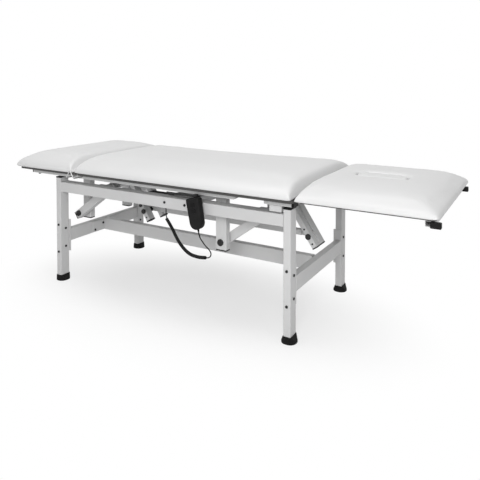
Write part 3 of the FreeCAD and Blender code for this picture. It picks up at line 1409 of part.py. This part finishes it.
NODES = {
    "legs_front": lambda: group([leg(-1, -1), leg(1, -1)]),
    "legs_back": lambda: group([leg(-1, 1), leg(1, 1)]),
    "leg_caps": leg_caps,
    "rubber_boots": rubber_boots,
    "side_rail_front": lambda: side_rail(-1),
    "side_rail_back": lambda: side_rail(1),
    "low_cross_tube_left": lambda: low_cross_tube(-1),
    "low_cross_tube_right": lambda: low_cross_tube(1),
    "spine_tube": spine_tube,
    "end_plates": end_plates,
    "spine_flanges": spine_flanges,
    "frame_bolts": lambda: group([leg_bolts(), rail_bolts(), flange_bolts()]),
    "bearing_blocks": bearing_blocks,
    "bearing_bushes": bearing_bushes,
    "actuator_member": lambda: group([actuator_member(), actuator_rear_pin()]),
    "control_box": control_box,
    "control_gland": control_gland,
    "handset_hanger": handset_hanger,
    "handset": handset,
    "button_up": lambda: handset_button(BUTTON_AT[0]),
    "button_down": lambda: handset_button(BUTTON_AT[1]),
    "handset_relief": handset_relief,
    "handset_cable": handset_cable,
    "cable_hose": cable_hose,
    "crank_shaft_left": lambda: crank_shaft(0),
    "crank_shaft_right": lambda: crank_shaft(1),
    "lifting_arms_left": lambda: lifting_arms(0),
    "lifting_arms_right": lambda: lifting_arms(1),
    "fork_levers": fork_levers,
    "pair_levers": pair_levers,
    "crank_caps_left": lambda: crank_end_caps(0, FORK_Y),
    "crank_caps_right": lambda: crank_end_caps(1, PAIR_Y),
    "crank_pins_left": lambda: crank_pins(0),
    "crank_pins_right": lambda: crank_pins(1),
    "tie_bar": tie_bar,
    "actuator_tube": actuator_tube,
    "actuator_rod": actuator_rod,
    "frame_side_tubes": lambda: group([side_tube(-1), side_tube(1)]),
    "frame_cross_tubes": lambda: group([cross_tubes(), end_cross_tube()]),
    "frame_stub_tubes": stub_tubes,
    "frame_caps": lambda: group([frame_caps(), post_caps()]),
    "hanging_posts": lambda: group([hanging_posts(0), hanging_posts(1)]),
    "strap_loops": strap_loops,
    "section_hinges": section_hinges,
    "quadrant_clamps": lambda: group(quadrant_clamp(0) + quadrant_clamp(1)),
    "middle_board": middle_board,
    "middle_cushion": middle_cushion,
    "leg_board": leg_board,
    "leg_cushion": leg_cushion,
    "leg_fittings": lambda: section_fittings(0),
    "leg_release_lever": lambda: release_lever(0),
    "head_board": head_board,
    "head_cushion": head_cushion,
    "head_tubes": lambda: group([head_side_tubes(), head_cross_tube()]),
    "head_caps": head_caps,
    "head_fittings": lambda: section_fittings(1),
    "head_release_lever": lambda: release_lever(1),
    "face_plug": face_plug,
}


def main():
    """Builds every node and writes one STEP file for each, centred along x on the whole table."""
    os.makedirs("parts", exist_ok=True)
    for name, make in NODES.items():
        shape = make()
        shape.translate(Vec(-CENTRE_X, 0, 0))
        print(name, len(shape.Solids), "solids", round(shape.Volume), shape.isValid())
        shape.exportStep("parts/" + name + ".step")


main()
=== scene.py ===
import json
import math

import bmesh
import bpy
import numpy as np
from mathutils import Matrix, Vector


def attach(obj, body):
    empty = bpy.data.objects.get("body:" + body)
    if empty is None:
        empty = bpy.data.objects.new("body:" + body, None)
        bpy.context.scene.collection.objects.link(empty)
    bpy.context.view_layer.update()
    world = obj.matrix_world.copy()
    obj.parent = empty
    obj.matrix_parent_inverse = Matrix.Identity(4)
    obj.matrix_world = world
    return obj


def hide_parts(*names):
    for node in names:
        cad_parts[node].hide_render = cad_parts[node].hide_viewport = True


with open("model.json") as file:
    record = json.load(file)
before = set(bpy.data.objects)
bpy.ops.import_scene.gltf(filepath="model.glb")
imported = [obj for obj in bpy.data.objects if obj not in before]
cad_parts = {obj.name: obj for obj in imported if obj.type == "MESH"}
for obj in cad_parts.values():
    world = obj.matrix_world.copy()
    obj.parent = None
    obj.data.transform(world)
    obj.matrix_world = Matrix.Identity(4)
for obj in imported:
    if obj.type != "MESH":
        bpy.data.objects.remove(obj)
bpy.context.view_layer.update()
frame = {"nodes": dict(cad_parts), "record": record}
scene = bpy.context.scene

# The photograph's view, in metres and radians
EYE = (1.2848, -2.0398, 0.9863)
HEADING = 0.52986
DOWNWARD = 0.03036
LENS = 39.68
LENS_SHIFT = -0.3084

# Control points of the handset's cable: from the control unit to the hose, through it, and on to the handset
LEAD = [(-0.152, -0.226, 0.427), (-0.152, -0.226, 0.396)]
THROUGH_HOSE = [
    (-0.145, -0.231, 0.366), (-0.117, -0.236, 0.339), (-0.091, -0.244, 0.312), (-0.070, -0.252, 0.291),
    (-0.040, -0.263, 0.272), (-0.007, -0.276, 0.259), (0.025, -0.289, 0.254), (0.058, -0.301, 0.256),
    (0.090, -0.312, 0.260), (0.121, -0.322, 0.268),
]
LOOP = [
    (0.136, -0.327, 0.271), (0.151, -0.332, 0.280), (0.157, -0.336, 0.296), (0.148, -0.338, 0.310),
    (0.130, -0.335, 0.319), (0.112, -0.331, 0.333), (0.0951, -0.327, 0.3478), (0.0920, -0.327, 0.3636),
]
CABLE_WIDTH = 0.0046
CABLE_SIDES = 12
HOSE_WIDTH = 0.014
HOSE_BORE = 0.011
HOSE_RIBS = 100
RIB_SHARES = (0.14, 0.30, 0.42, 0.58, 0.70, 0.86)
RIB_SIDES = 16
BORE_RINGS = 60
GUIDE_STEPS = 12
GUIDE_ORDER = 3

# Upholstery: cell of the remeshed skin, how far it is drawn in first, and how far air may push a point
COVERS = {
    "leg_cover": ("leg_cushion", "leg_section", 0.0062, 0.0010, 0.0045),
    "middle_cover": ("middle_cushion", "top_frame", 0.0088, 0.0010, 0.0045),
    "head_cover": ("head_cushion", "head_section", 0.0064, 0.0010, 0.0045),
    "face_plug_cover": ("face_plug", "face_plug", 0.0040, 0.0012, 0.0016),
}
WELD = 0.00002
AIR = 4.0
CLOTH_QUALITY = 4
BLOWN_FRAMES = 20
SMOOTH_FACTOR = 0.5
SMOOTH_ROUNDS = 12
# Height over the board below which a cover keeps its rolled edge, and above which it is smoothed in full
EDGE_LOW = 0.012
EDGE_HIGH = 0.034
EDGE_SHARE = 0.12

# Finishes
DUST_COLOUR = (0.55, 0.55, 0.54, 1)
DUST_SCALE = 60.0
WOOD_GRAIN = (6.0, 90.0, 20.0)
WOOD_RELIEF = 0.0002
PLIES_PER_METRE = 3140.0
METAL_DRIFT = 40.0

# Studio: the floor's paint fades into white light past an oval about the shadow
FLOOR_HALF = 30.0
FLOOR_SHIFT = (0.1, 0.12, 0)
FLOOR_OVAL = (1.0, 1.75, 0)
FLOOR_FADE = (0.35, 1.15)
LEAST_GLOW = 0.58
AMBIENT = 0.36
LAMP_AIM = (0, 0, 0.4)
LAMPS = (
    ("key_lamp", (1.4, -2.8, 1.8), 1.4, 52.0),
    ("right_lamp", (4.0, -1.5, 2.5), 2.0, 14.0),
    ("top_lamp", (-0.8, -0.4, 4.5), 2.6, 80.0),
)


def collect(piece):
    """Puts a new object into the scene."""
    scene.collection.objects.link(piece)
    return piece


def mesh_piece(name, points, faces):
    """Object from an array of points and a list of faces, smooth shaded, sitting at the origin."""
    mesh = bpy.data.meshes.new(name)
    mesh.from_pydata(points.tolist(), [], faces)
    mesh.polygons.foreach_set("use_smooth", np.ones(len(mesh.polygons), bool))
    mesh.update()
    return collect(bpy.data.objects.new(name, mesh))


def grid_faces(rows, columns, close_rows, close_columns):
    """Quads between neighbours of a grid of points numbered row by row; either way may close on itself."""
    row = np.arange(rows if close_rows else rows - 1)
    column = np.arange(columns if close_columns else columns - 1)
    r, c = np.meshgrid(row, column, indexing="ij")
    after_r, after_c = (r + 1) % rows, (c + 1) % columns
    corners = [r * columns + c, r * columns + after_c, after_r * columns + after_c, after_r * columns + c]
    return np.stack(corners, -1).reshape(-1, 4)


def photo_camera():
    """Camera at the photograph's eye point, turned by its heading and tilted down."""
    data = bpy.data.cameras.new("photo_camera")
    data.lens = LENS
    data.shift_y = LENS_SHIFT
    camera = collect(bpy.data.objects.new("photo_camera", data))
    camera.location = EYE
    camera.rotation_euler = (math.pi / 2 - DOWNWARD, 0, HEADING)
    scene.camera = camera


# Cords


def control_spline(name, points):
    """Smooth curve steered by control points, straight out of both of its ends."""
    data = bpy.data.curves.new(name, "CURVE")
    data.dimensions = "3D"
    data.resolution_u = GUIDE_STEPS
    spline = data.splines.new("NURBS")
    spline.points.add(len(points) - 1)
    spline.points.foreach_set("co", np.column_stack([points, np.ones(len(points))]).ravel())
    spline.order_u = GUIDE_ORDER
    spline.use_endpoint_u = True
    return collect(bpy.data.objects.new(name, data))


def points_along(curve):
    """Points of a curve that has no bevel, in order, as an array."""
    mesh = bpy.data.meshes.new_from_object(curve)
    points = np.empty(3 * len(mesh.vertices))
    mesh.vertices.foreach_get("co", points)
    bpy.data.meshes.remove(mesh)
    return points.reshape(-1, 3)


def spline_path(name, points):
    """Points along the smooth curve that the control points steer."""
    guide = control_spline(name, points)
    path = points_along(guide)
    bpy.data.objects.remove(guide)
    return path


def distances(path):
    """Distance of each point of a path from its start, along the path."""
    return np.concatenate([[0], np.cumsum(np.linalg.norm(np.diff(path, axis=0), axis=1))])


def rings_along(path, along, radius, sides):
    """Rings square to a path, as one array of points.

    Ring i sits at the distance along[i] with the radius radius[i]. Each of its points is the path's point plus
    the radius times cos and sin of its angle in the plane square to the path.
    """
    run = distances(path)
    centre = np.column_stack([np.interp(along, run, path[:, i]) for i in range(3)])
    slope = np.gradient(path, axis=0)
    tangent = np.column_stack([np.interp(along, run, slope[:, i]) for i in range(3)])
    tangent /= np.linalg.norm(tangent, axis=1)[:, None]
    side = np.cross(tangent, [0, 1, 0])
    side /= np.linalg.norm(side, axis=1)[:, None]
    top = np.cross(side, tangent)
    angle = np.linspace(0, 2 * math.pi, sides, endpoint=False)
    ring = side[:, None] * np.cos(angle)[None, :, None] + top[:, None] * np.sin(angle)[None, :, None]
    return (centre[:, None] + ring * radius[:, None, None]).reshape(-1, 3)


def handset_cable():
    """Slim round cable from the gland, through the hose, to the handset."""
    path = spline_path("cable_guide", LEAD + THROUGH_HOSE + LOOP)
    along = distances(path)
    points = rings_along(path, along, np.full(len(along), CABLE_WIDTH / 2), CABLE_SIDES)
    ends = [list(range(CABLE_SIDES)), list(range(len(points) - 1, len(points) - 1 - CABLE_SIDES, -1))]
    faces = grid_faces(len(along), CABLE_SIDES, False, True)[:, ::-1].tolist() + ends
    cable = mesh_piece("handset_lead", points, faces)
    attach(cable, "base")
    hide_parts("handset_cable")
    return cable


def ribbed_hose():
    """Corrugated hose with a plain bore.

    The skin is a closed grid: rings out along the path, whose radius is valley + rise * wave, and rings back
    along the bore. The wave is a clipped cosine with one period a rib.
    """
    path = spline_path("hose_guide", THROUGH_HOSE)
    valley = HOSE_BORE / 2 + (HOSE_WIDTH - HOSE_BORE) / 4
    share = np.concatenate([[0], (np.arange(HOSE_RIBS)[:, None] + RIB_SHARES).ravel(), [HOSE_RIBS]])
    wave = np.clip(0.5 - 0.75 * np.cos(2 * math.pi * share), 0, 1)
    back = np.linspace(HOSE_RIBS, 0, BORE_RINGS)
    along = np.concatenate([share, back]) / HOSE_RIBS * distances(path)[-1]
    radius = np.concatenate([valley + (HOSE_WIDTH / 2 - valley) * wave, np.full(BORE_RINGS, HOSE_BORE / 2)])
    points = rings_along(path, along, radius, RIB_SIDES)
    hose = mesh_piece("ribbed_hose", points, grid_faces(len(along), RIB_SIDES, True, True)[:, ::-1].tolist())
    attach(hose, "base")
    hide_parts("cable_hose")
    return hose


# Upholstery


def coordinates(mesh, key="co"):
    """Array of a mesh's points, or of their normals."""
    values = np.empty(3 * len(mesh.vertices))
    mesh.vertices.foreach_get(key, values)
    return values.reshape(-1, 3)


def settle(piece):
    """Puts what the modifiers make into the mesh and takes the modifiers off."""
    graph = bpy.context.evaluated_depsgraph_get()
    mesh = bpy.data.meshes.new_from_object(piece.evaluated_get(graph), depsgraph=graph)
    piece.modifiers.clear()
    piece.data = mesh


def cushion_cover(name, node, body, cell, drawn_in, reach):
    """Taut cover over foam, grown from a cushion's plain form.

    The form's skin is remeshed into even cells, every point above the base is drawn in along its normal, and
    the skin is blown out again as cloth by air inside it. The base stays flat on its board. A point that went
    further than `reach` is pulled back to that distance. The dome is then smoothed, and its rolled edge only a
    little.
    """
    form = bmesh.new()
    form.from_mesh(frame["nodes"][node].data)
    bmesh.ops.remove_doubles(form, verts=form.verts, dist=WELD)
    mesh = bpy.data.meshes.new(name)
    form.to_mesh(mesh)
    form.free()
    piece = collect(bpy.data.objects.new(name, mesh))
    remesh = piece.modifiers.new("cells", "REMESH")
    remesh.mode = "VOXEL"
    remesh.voxel_size = cell
    remesh.use_smooth_shade = True
    settle(piece)

    start = coordinates(piece.data)
    base = start[:, 2].min()
    free = np.clip((start[:, 2] - base) / (2 * cell), 0, 1)[:, None]
    start = start - coordinates(piece.data, "normal") * drawn_in * free
    piece.data.vertices.foreach_set("co", start.ravel())
    piece.data.update()

    held = piece.vertex_groups.new(name="held")
    held.add(np.flatnonzero(start[:, 2] < base + cell).tolist(), 1.0, "REPLACE")
    cloth = piece.modifiers.new("air", "CLOTH")
    cloth.settings.vertex_group_mass = "held"
    cloth.settings.use_pressure = True
    cloth.settings.uniform_pressure_force = AIR
    cloth.settings.effector_weights.gravity = 0
    cloth.settings.quality = CLOTH_QUALITY
    cloth.point_cache.frame_start = 1
    cloth.point_cache.frame_end = BLOWN_FRAMES
    for step in range(1, BLOWN_FRAMES + 1):
        scene.frame_set(step)
    settle(piece)
    scene.frame_set(1)
    move = coordinates(piece.data) - start
    far = np.linalg.norm(move, axis=1)[:, None]
    move *= np.minimum(1, reach / np.maximum(far, 1e-9))
    piece.data.vertices.foreach_set("co", (start + move).ravel())
    piece.data.update()

    height = coordinates(piece.data)[:, 2] - base
    weight = np.clip((height - EDGE_LOW) / (EDGE_HIGH - EDGE_LOW), EDGE_SHARE, 1)
    dome = piece.vertex_groups.new(name="dome")
    for i, share in enumerate(weight.tolist()):
        dome.add([i], share, "REPLACE")
    smooth = piece.modifiers.new("smooth", "SMOOTH")
    smooth.factor = SMOOTH_FACTOR
    smooth.iterations = SMOOTH_ROUNDS
    smooth.vertex_group = "dome"
    finer = piece.modifiers.new("finer", "SUBSURF")
    finer.levels = finer.render_levels = 1
    settle(piece)
    piece.data.polygons.foreach_set("use_smooth", np.ones(len(piece.data.polygons), bool))
    piece.vertex_groups.clear()
    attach(piece, body)
    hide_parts(node)
    return piece


# Materials


def add_node(tree, kind, inputs=None, **settings):
    """New shader node; an input takes a value or a link from another node's output."""
    made = tree.nodes.new("ShaderNode" + kind)
    for key, value in settings.items():
        setattr(made, key, value)
    for key, value in (inputs or {}).items():
        if isinstance(value, bpy.types.NodeSocket):
            tree.links.new(value, made.inputs[key])
        else:
            made.inputs[key].default_value = value
    return made


def effect(name, inputs, outputs, build):
    """Node group with named sockets; build gets the tree and its inputs and returns the outputs in order."""
    tree = bpy.data.node_groups.new(name, "ShaderNodeTree")
    for label, (kind, start) in inputs.items():
        socket = tree.interface.new_socket(label, in_out="INPUT", socket_type="NodeSocket" + kind)
        if start is not None:
            socket.default_value = start
    for label, kind in outputs.items():
        tree.interface.new_socket(label, in_out="OUTPUT", socket_type="NodeSocket" + kind)
    source = tree.nodes.new("NodeGroupInput")
    sink = tree.nodes.new("NodeGroupOutput")
    for label, socket in zip(outputs, build(tree, source.outputs)):
        tree.links.new(socket, sink.inputs[label])
    return tree


def build_grain(tree, given):
    """Pebbles of two sizes added together; hollows between them are a little rougher."""
    coarse = add_node(tree, "TexVoronoi", {"Vector": given["Place"], "Scale": given["Scale"]},
                      feature="SMOOTH_F1")
    fine = add_node(tree, "TexNoise", {"Vector": given["Place"], "Scale": given["Scale"], "Detail": 3.0})
    height = add_node(tree, "Math", {0: coarse.outputs["Distance"], 1: fine.outputs["Fac"]},
                      operation="ADD")
    bump = add_node(tree, "Bump", {"Height": height.outputs[0], "Distance": given["Depth"]})
    rough = add_node(tree, "MapRange", {"Value": fine.outputs["Fac"], "From Min": 0.3, "From Max": 0.7,
                                        "To Min": given["Smoothest"], "To Max": given["Roughest"]})
    return rough.outputs["Result"], bump.outputs["Normal"]


def build_drift(tree, given):
    """Two close colours in slow clouds over the surface."""
    cloud = add_node(tree, "TexNoise", {"Vector": given["Place"], "Scale": given["Scale"], "Detail": 4.0})
    share = add_node(tree, "MapRange", {"Value": cloud.outputs["Fac"], "From Min": 0.35, "From Max": 0.65})
    mix = add_node(tree, "Mix", {"Factor": share.outputs["Result"], "A": given["Colour"],
                                 "B": given["Other colour"]}, data_type="RGBA")
    return [mix.outputs["Result"]]


def build_dust(tree, given):
    """Fine pale dust on faces that look up, broken up by noise."""
    normal = add_node(tree, "NewGeometry")
    parts = add_node(tree, "SeparateXYZ", {"Vector": normal.outputs["Normal"]})
    cloud = add_node(tree, "TexNoise", {"Vector": given["Place"], "Scale": DUST_SCALE, "Detail": 5.0})
    facing = add_node(tree, "MapRange", {"Value": parts.outputs["Z"], "From Min": 0.2, "From Max": 1.0})
    share = add_node(tree, "Math", {0: facing.outputs["Result"], 1: cloud.outputs["Fac"]},
                     operation="MULTIPLY")
    amount = add_node(tree, "Math", {0: share.outputs[0], 1: given["Amount"]}, operation="MULTIPLY")
    mix = add_node(tree, "Mix", {"Factor": amount.outputs[0], "A": given["Colour"], "B": DUST_COLOUR},
                   data_type="RGBA")
    return [mix.outputs["Result"]]


def build_brush(tree, given):
    """Fine streaks along one axis: noise squeezed across it, as roughness and a shallow relief."""
    squeezed = add_node(tree, "VectorMath", {0: given["Place"], 1: given["Squeeze"]}, operation="MULTIPLY")
    streaks = add_node(tree, "TexNoise", {"Vector": squeezed.outputs["Vector"], "Scale": 1.0, "Detail": 4.0})
    bump = add_node(tree, "Bump", {"Height": streaks.outputs["Fac"], "Distance": given["Depth"]})
    rough = add_node(tree, "MapRange", {"Value": streaks.outputs["Fac"], "From Min": 0.3, "From Max": 0.7,
                                        "To Min": given["Smoothest"], "To Max": given["Roughest"]})
    return rough.outputs["Result"], bump.outputs["Normal"]


def build_plies(tree, given):
    """Plies stacked along z on a board's edge, and drawn-out grain on its faces."""
    parts = add_node(tree, "SeparateXYZ", {"Vector": given["Place"]})
    turn = add_node(tree, "Math", {0: parts.outputs["Z"], 1: given["Plies per metre"]},
                    operation="MULTIPLY")
    wave = add_node(tree, "Math", {0: turn.outputs[0]}, operation="SINE")
    drawn = add_node(tree, "VectorMath", {0: given["Place"], 1: WOOD_GRAIN}, operation="MULTIPLY")
    grain = add_node(tree, "TexNoise", {"Vector": drawn.outputs["Vector"], "Scale": 1.0, "Detail": 6.0})
    both = add_node(tree, "Math", {0: wave.outputs[0], 1: grain.outputs["Fac"], 2: 0.5},
                    operation="MULTIPLY_ADD")
    share = add_node(tree, "MapRange", {"Value": both.outputs[0], "From Min": 0.1, "From Max": 0.9})
    mix = add_node(tree, "Mix", {"Factor": share.outputs["Result"], "A": given["Colour"],
                                 "B": given["Other colour"]}, data_type="RGBA")
    bump = add_node(tree, "Bump", {"Height": grain.outputs["Fac"], "Distance": WOOD_RELIEF})
    return mix.outputs["Result"], bump.outputs["Normal"]


PLACE = ("Vector", None)
PALE = ("Color", (0.8, 0.8, 0.8, 1))
NUMBER = ("Float", 0.0)
SKIN = {"Roughness": "Float", "Normal": "Vector"}
EFFECTS = {
    "fine_grain": effect(
        "fine_grain", {"Place": PLACE, "Scale": NUMBER, "Depth": NUMBER, "Smoothest": NUMBER,
                       "Roughest": NUMBER}, SKIN, build_grain),
    "colour_drift": effect(
        "colour_drift", {"Place": PLACE, "Colour": PALE, "Other colour": PALE, "Scale": NUMBER},
        {"Colour": "Color"}, build_drift),
    "settled_dust": effect(
        "settled_dust", {"Place": PLACE, "Colour": PALE, "Amount": NUMBER}, {"Colour": "Color"}, build_dust),
    "brush_streaks": effect(
        "brush_streaks", {"Place": PLACE, "Squeeze": PLACE, "Depth": NUMBER, "Smoothest": NUMBER,
                          "Roughest": NUMBER}, SKIN, build_brush),
    "plies": effect(
        "plies", {"Place": PLACE, "Colour": PALE, "Other colour": PALE, "Plies per metre": NUMBER},
        {"Colour": "Color", "Normal": "Vector"}, build_plies),
}


def grey(level, warmth=0.0):
    """Near-neutral colour; warmth lifts red and lowers blue."""
    return (level * (1 + warmth), level, level * (1 - warmth), 1)


def material(name, **settings):
    """Material with its shader and the object's own coordinates; settings are the shader's plain values."""
    made = bpy.data.materials.new(name)
    made.use_nodes = True
    tree = made.node_tree
    shader = tree.nodes["Principled BSDF"]
    for key, value in settings.items():
        shader.inputs[key.replace("_", " ")].default_value = value
    place = tree.nodes.new("ShaderNodeTexCoord").outputs["Object"]
    return made, tree, shader, place


def use(tree, name, place, **values):
    """Places one of the shared effects; underscores in a value's name stand for spaces."""
    made = tree.nodes.new("ShaderNodeGroup")
    made.node_tree = EFFECTS[name]
    tree.links.new(place, made.inputs["Place"])
    for key, value in values.items():
        socket = made.inputs[key.replace("_", " ")]
        if isinstance(value, bpy.types.NodeSocket):
            tree.links.new(value, socket)
        else:
            socket.default_value = value
    return made.outputs


def coated(name, colour, other, drift, grain, dust=0.0, **settings):
    """Painted, moulded or sewn finish: clouds of colour, dust on top, and a grain.

    The grain is its scale, its depth, and its smallest and largest roughness.
    """
    made, tree, shader, place = material(name, **settings)
    tint = use(tree, "colour_drift", place, Colour=colour, Other_colour=other, Scale=drift)["Colour"]
    if dust:
        tint = use(tree, "settled_dust", place, Colour=tint, Amount=dust)["Colour"]
    scale, depth, smoothest, roughest = grain
    skin = use(tree, "fine_grain", place, Scale=scale, Depth=depth, Smoothest=smoothest, Roughest=roughest)
    tree.links.new(tint, shader.inputs["Base Color"])
    tree.links.new(skin["Roughness"], shader.inputs["Roughness"])
    tree.links.new(skin["Normal"], shader.inputs["Normal"])
    return made


def metal(name, colour, other, squeeze, depth, smoothest, roughest):
    """Bare metal with streaks along one axis."""
    made, tree, shader, place = material(name, Metallic=1.0)
    tint = use(tree, "colour_drift", place, Colour=colour, Other_colour=other, Scale=METAL_DRIFT)["Colour"]
    skin = use(tree, "brush_streaks", place, Squeeze=squeeze, Depth=depth, Smoothest=smoothest,
               Roughest=roughest)
    tree.links.new(tint, shader.inputs["Base Color"])
    tree.links.new(skin["Roughness"], shader.inputs["Roughness"])
    tree.links.new(skin["Normal"], shader.inputs["Normal"])
    return made


def board_wood(name):
    """Plywood with plies and grain; its near-black colour is painted shade for the board edge under the
    cushions.
    """
    made, tree, shader, place = material(name, Roughness=0.6)
    # near-black board colours: painted shade for the board edge lying in shadow under the cushion overhang
    skin = use(tree, "plies", place, Colour=grey(0.040, 0.02), Other_colour=grey(0.070, 0.03),
               Plies_per_metre=PLIES_PER_METRE)
    tree.links.new(skin["Colour"], shader.inputs["Base Color"])
    tree.links.new(skin["Normal"], shader.inputs["Normal"])
    return made


MATERIALS = {
    "white_paint": coated("satin_white_powder_coat", grey(0.60), grey(0.575), 5.0,
                          (900.0, 0.00004, 0.36, 0.48), Specular_IOR_Level=0.5),
    "upholstery": coated("white_vinyl", grey(0.68), grey(0.66), 3.0, (1100.0, 0.00012, 0.42, 0.56)),
    "black_plastic": coated("moulded_black_plastic", grey(0.007), grey(0.010), 30.0,
                            (1500.0, 0.00005, 0.42, 0.60), 0.03, Specular_IOR_Level=0.14),
    "black_rubber": coated("black_rubber", grey(0.006), grey(0.010), 25.0,
                           (1100.0, 0.00008, 0.62, 0.82), 0.04, Specular_IOR_Level=0.12),
    "dark_steel": coated("blackened_steel", grey(0.020), grey(0.032), 60.0,
                         (1800.0, 0.00003, 0.34, 0.50), Metallic=0.6),
    "grey_motor": coated("grey_housing", grey(0.20), grey(0.23), 12.0, (1200.0, 0.00006, 0.45, 0.60), 0.05),
    "steel": metal("zinc_plated_steel", grey(0.62), grey(0.52), (900.0, 60.0, 900.0), 0.00002, 0.24, 0.42),
    "bronze": metal("sintered_bronze", (0.56, 0.40, 0.22, 1), (0.46, 0.32, 0.18, 1),
                    (500.0, 500.0, 500.0), 0.00003, 0.34, 0.5),
    # board: real plies and grain, with a near-black colour that is painted shade for its edge under the
    # cushions
    "plywood": board_wood("shade_darkened_plywood"),
}


def dress(piece, key):
    """Gives a piece one finish all over."""
    piece.data.materials.clear()
    piece.data.materials.append(MATERIALS[key])


def dress_cad_nodes():
    """Every CAD node takes the finish of its slot in the record."""
    for part in frame["record"]["subparts"]:
        piece = frame["nodes"][part["node"]]
        for i in range(max(1, len(piece.material_slots))):
            if piece.material_slots:
                piece.material_slots[i].link = "OBJECT"
                piece.material_slots[i].material = MATERIALS[part["material_slot"]]


# Studio


def camera_or_mirror(tree, rays):
    """One for rays from the camera and for mirrored rays, and nought for the rest."""
    return add_node(tree, "Math", {0: rays.outputs["Is Camera Ray"], 1: rays.outputs["Is Glossy Ray"]},
                    operation="MAXIMUM")


def studio_floor():
    """Pale floor that keeps the table's shadow and fades into the white background."""
    made, tree, shader, place = material("studio_floor", Roughness=0.9, Specular_IOR_Level=0.1)
    shader.inputs["Base Color"].default_value = grey(0.90)
    shifted = add_node(tree, "VectorMath", {0: place, 1: FLOOR_SHIFT}, operation="ADD")
    oval = add_node(tree, "VectorMath", {0: shifted.outputs["Vector"], 1: FLOOR_OVAL}, operation="MULTIPLY")
    reach = add_node(tree, "VectorMath", {0: oval.outputs["Vector"]}, operation="LENGTH")
    fade = add_node(tree, "MapRange", {"Value": reach.outputs["Value"], "From Min": FLOOR_FADE[0],
                                       "From Max": FLOOR_FADE[1], "To Min": LEAST_GLOW},
                    interpolation_type="SMOOTHSTEP")
    seen = camera_or_mirror(tree, add_node(tree, "LightPath"))
    share = add_node(tree, "Math", {0: fade.outputs["Result"], 1: seen.outputs[0]}, operation="MULTIPLY")
    white = add_node(tree, "Emission", {"Color": (1, 1, 1, 1), "Strength": 1.0})
    mix = add_node(tree, "MixShader", {0: share.outputs[0], 1: shader.outputs[0], 2: white.outputs[0]})
    tree.links.new(mix.outputs[0], tree.nodes["Material Output"].inputs["Surface"])
    corners = FLOOR_HALF * np.array([(-1, -1, 0), (1, -1, 0), (1, 1, 0), (-1, 1, 0)])
    floor = mesh_piece("studio_floor", corners, [[0, 1, 2, 3]])
    floor.data.materials.append(made)


def studio_light():
    """White surround, and three large soft lamps: front right, right end and overhead."""
    world = bpy.data.worlds.new("white_surround")
    scene.world = world
    world.use_nodes = True
    tree = world.node_tree
    rays = add_node(tree, "LightPath")
    seen = camera_or_mirror(tree, rays)
    seen = add_node(tree, "Math", {0: seen.outputs[0], 1: rays.outputs["Is Transmission Ray"]},
                    operation="MAXIMUM")
    level = add_node(tree, "MapRange", {"Value": seen.outputs[0], "To Min": AMBIENT, "To Max": 1.0})
    tree.links.new(level.outputs["Result"], tree.nodes["Background"].inputs["Strength"])
    tree.nodes["Background"].inputs["Color"].default_value = (1, 1, 1, 1)
    for name, place, size, power in LAMPS:
        data = bpy.data.lights.new(name, "AREA")
        data.shape = "DISK"
        data.size = size
        data.energy = power
        lamp = collect(bpy.data.objects.new(name, data))
        lamp.location = place
        lamp.rotation_euler = (Vector(LAMP_AIM) - Vector(place)).to_track_quat("-Z", "Y").to_euler()


def main():
    """Camera and cords first, then the upholstery, the finishes and the studio."""
    scene.view_settings.view_transform = "Standard"
    photo_camera()
    dress(handset_cable(), "black_rubber")
    dress(ribbed_hose(), "black_plastic")
    for name, recipe in COVERS.items():
        dress(cushion_cover(name, *recipe), "upholstery")
    dress_cad_nodes()
    studio_floor()
    studio_light()


main()
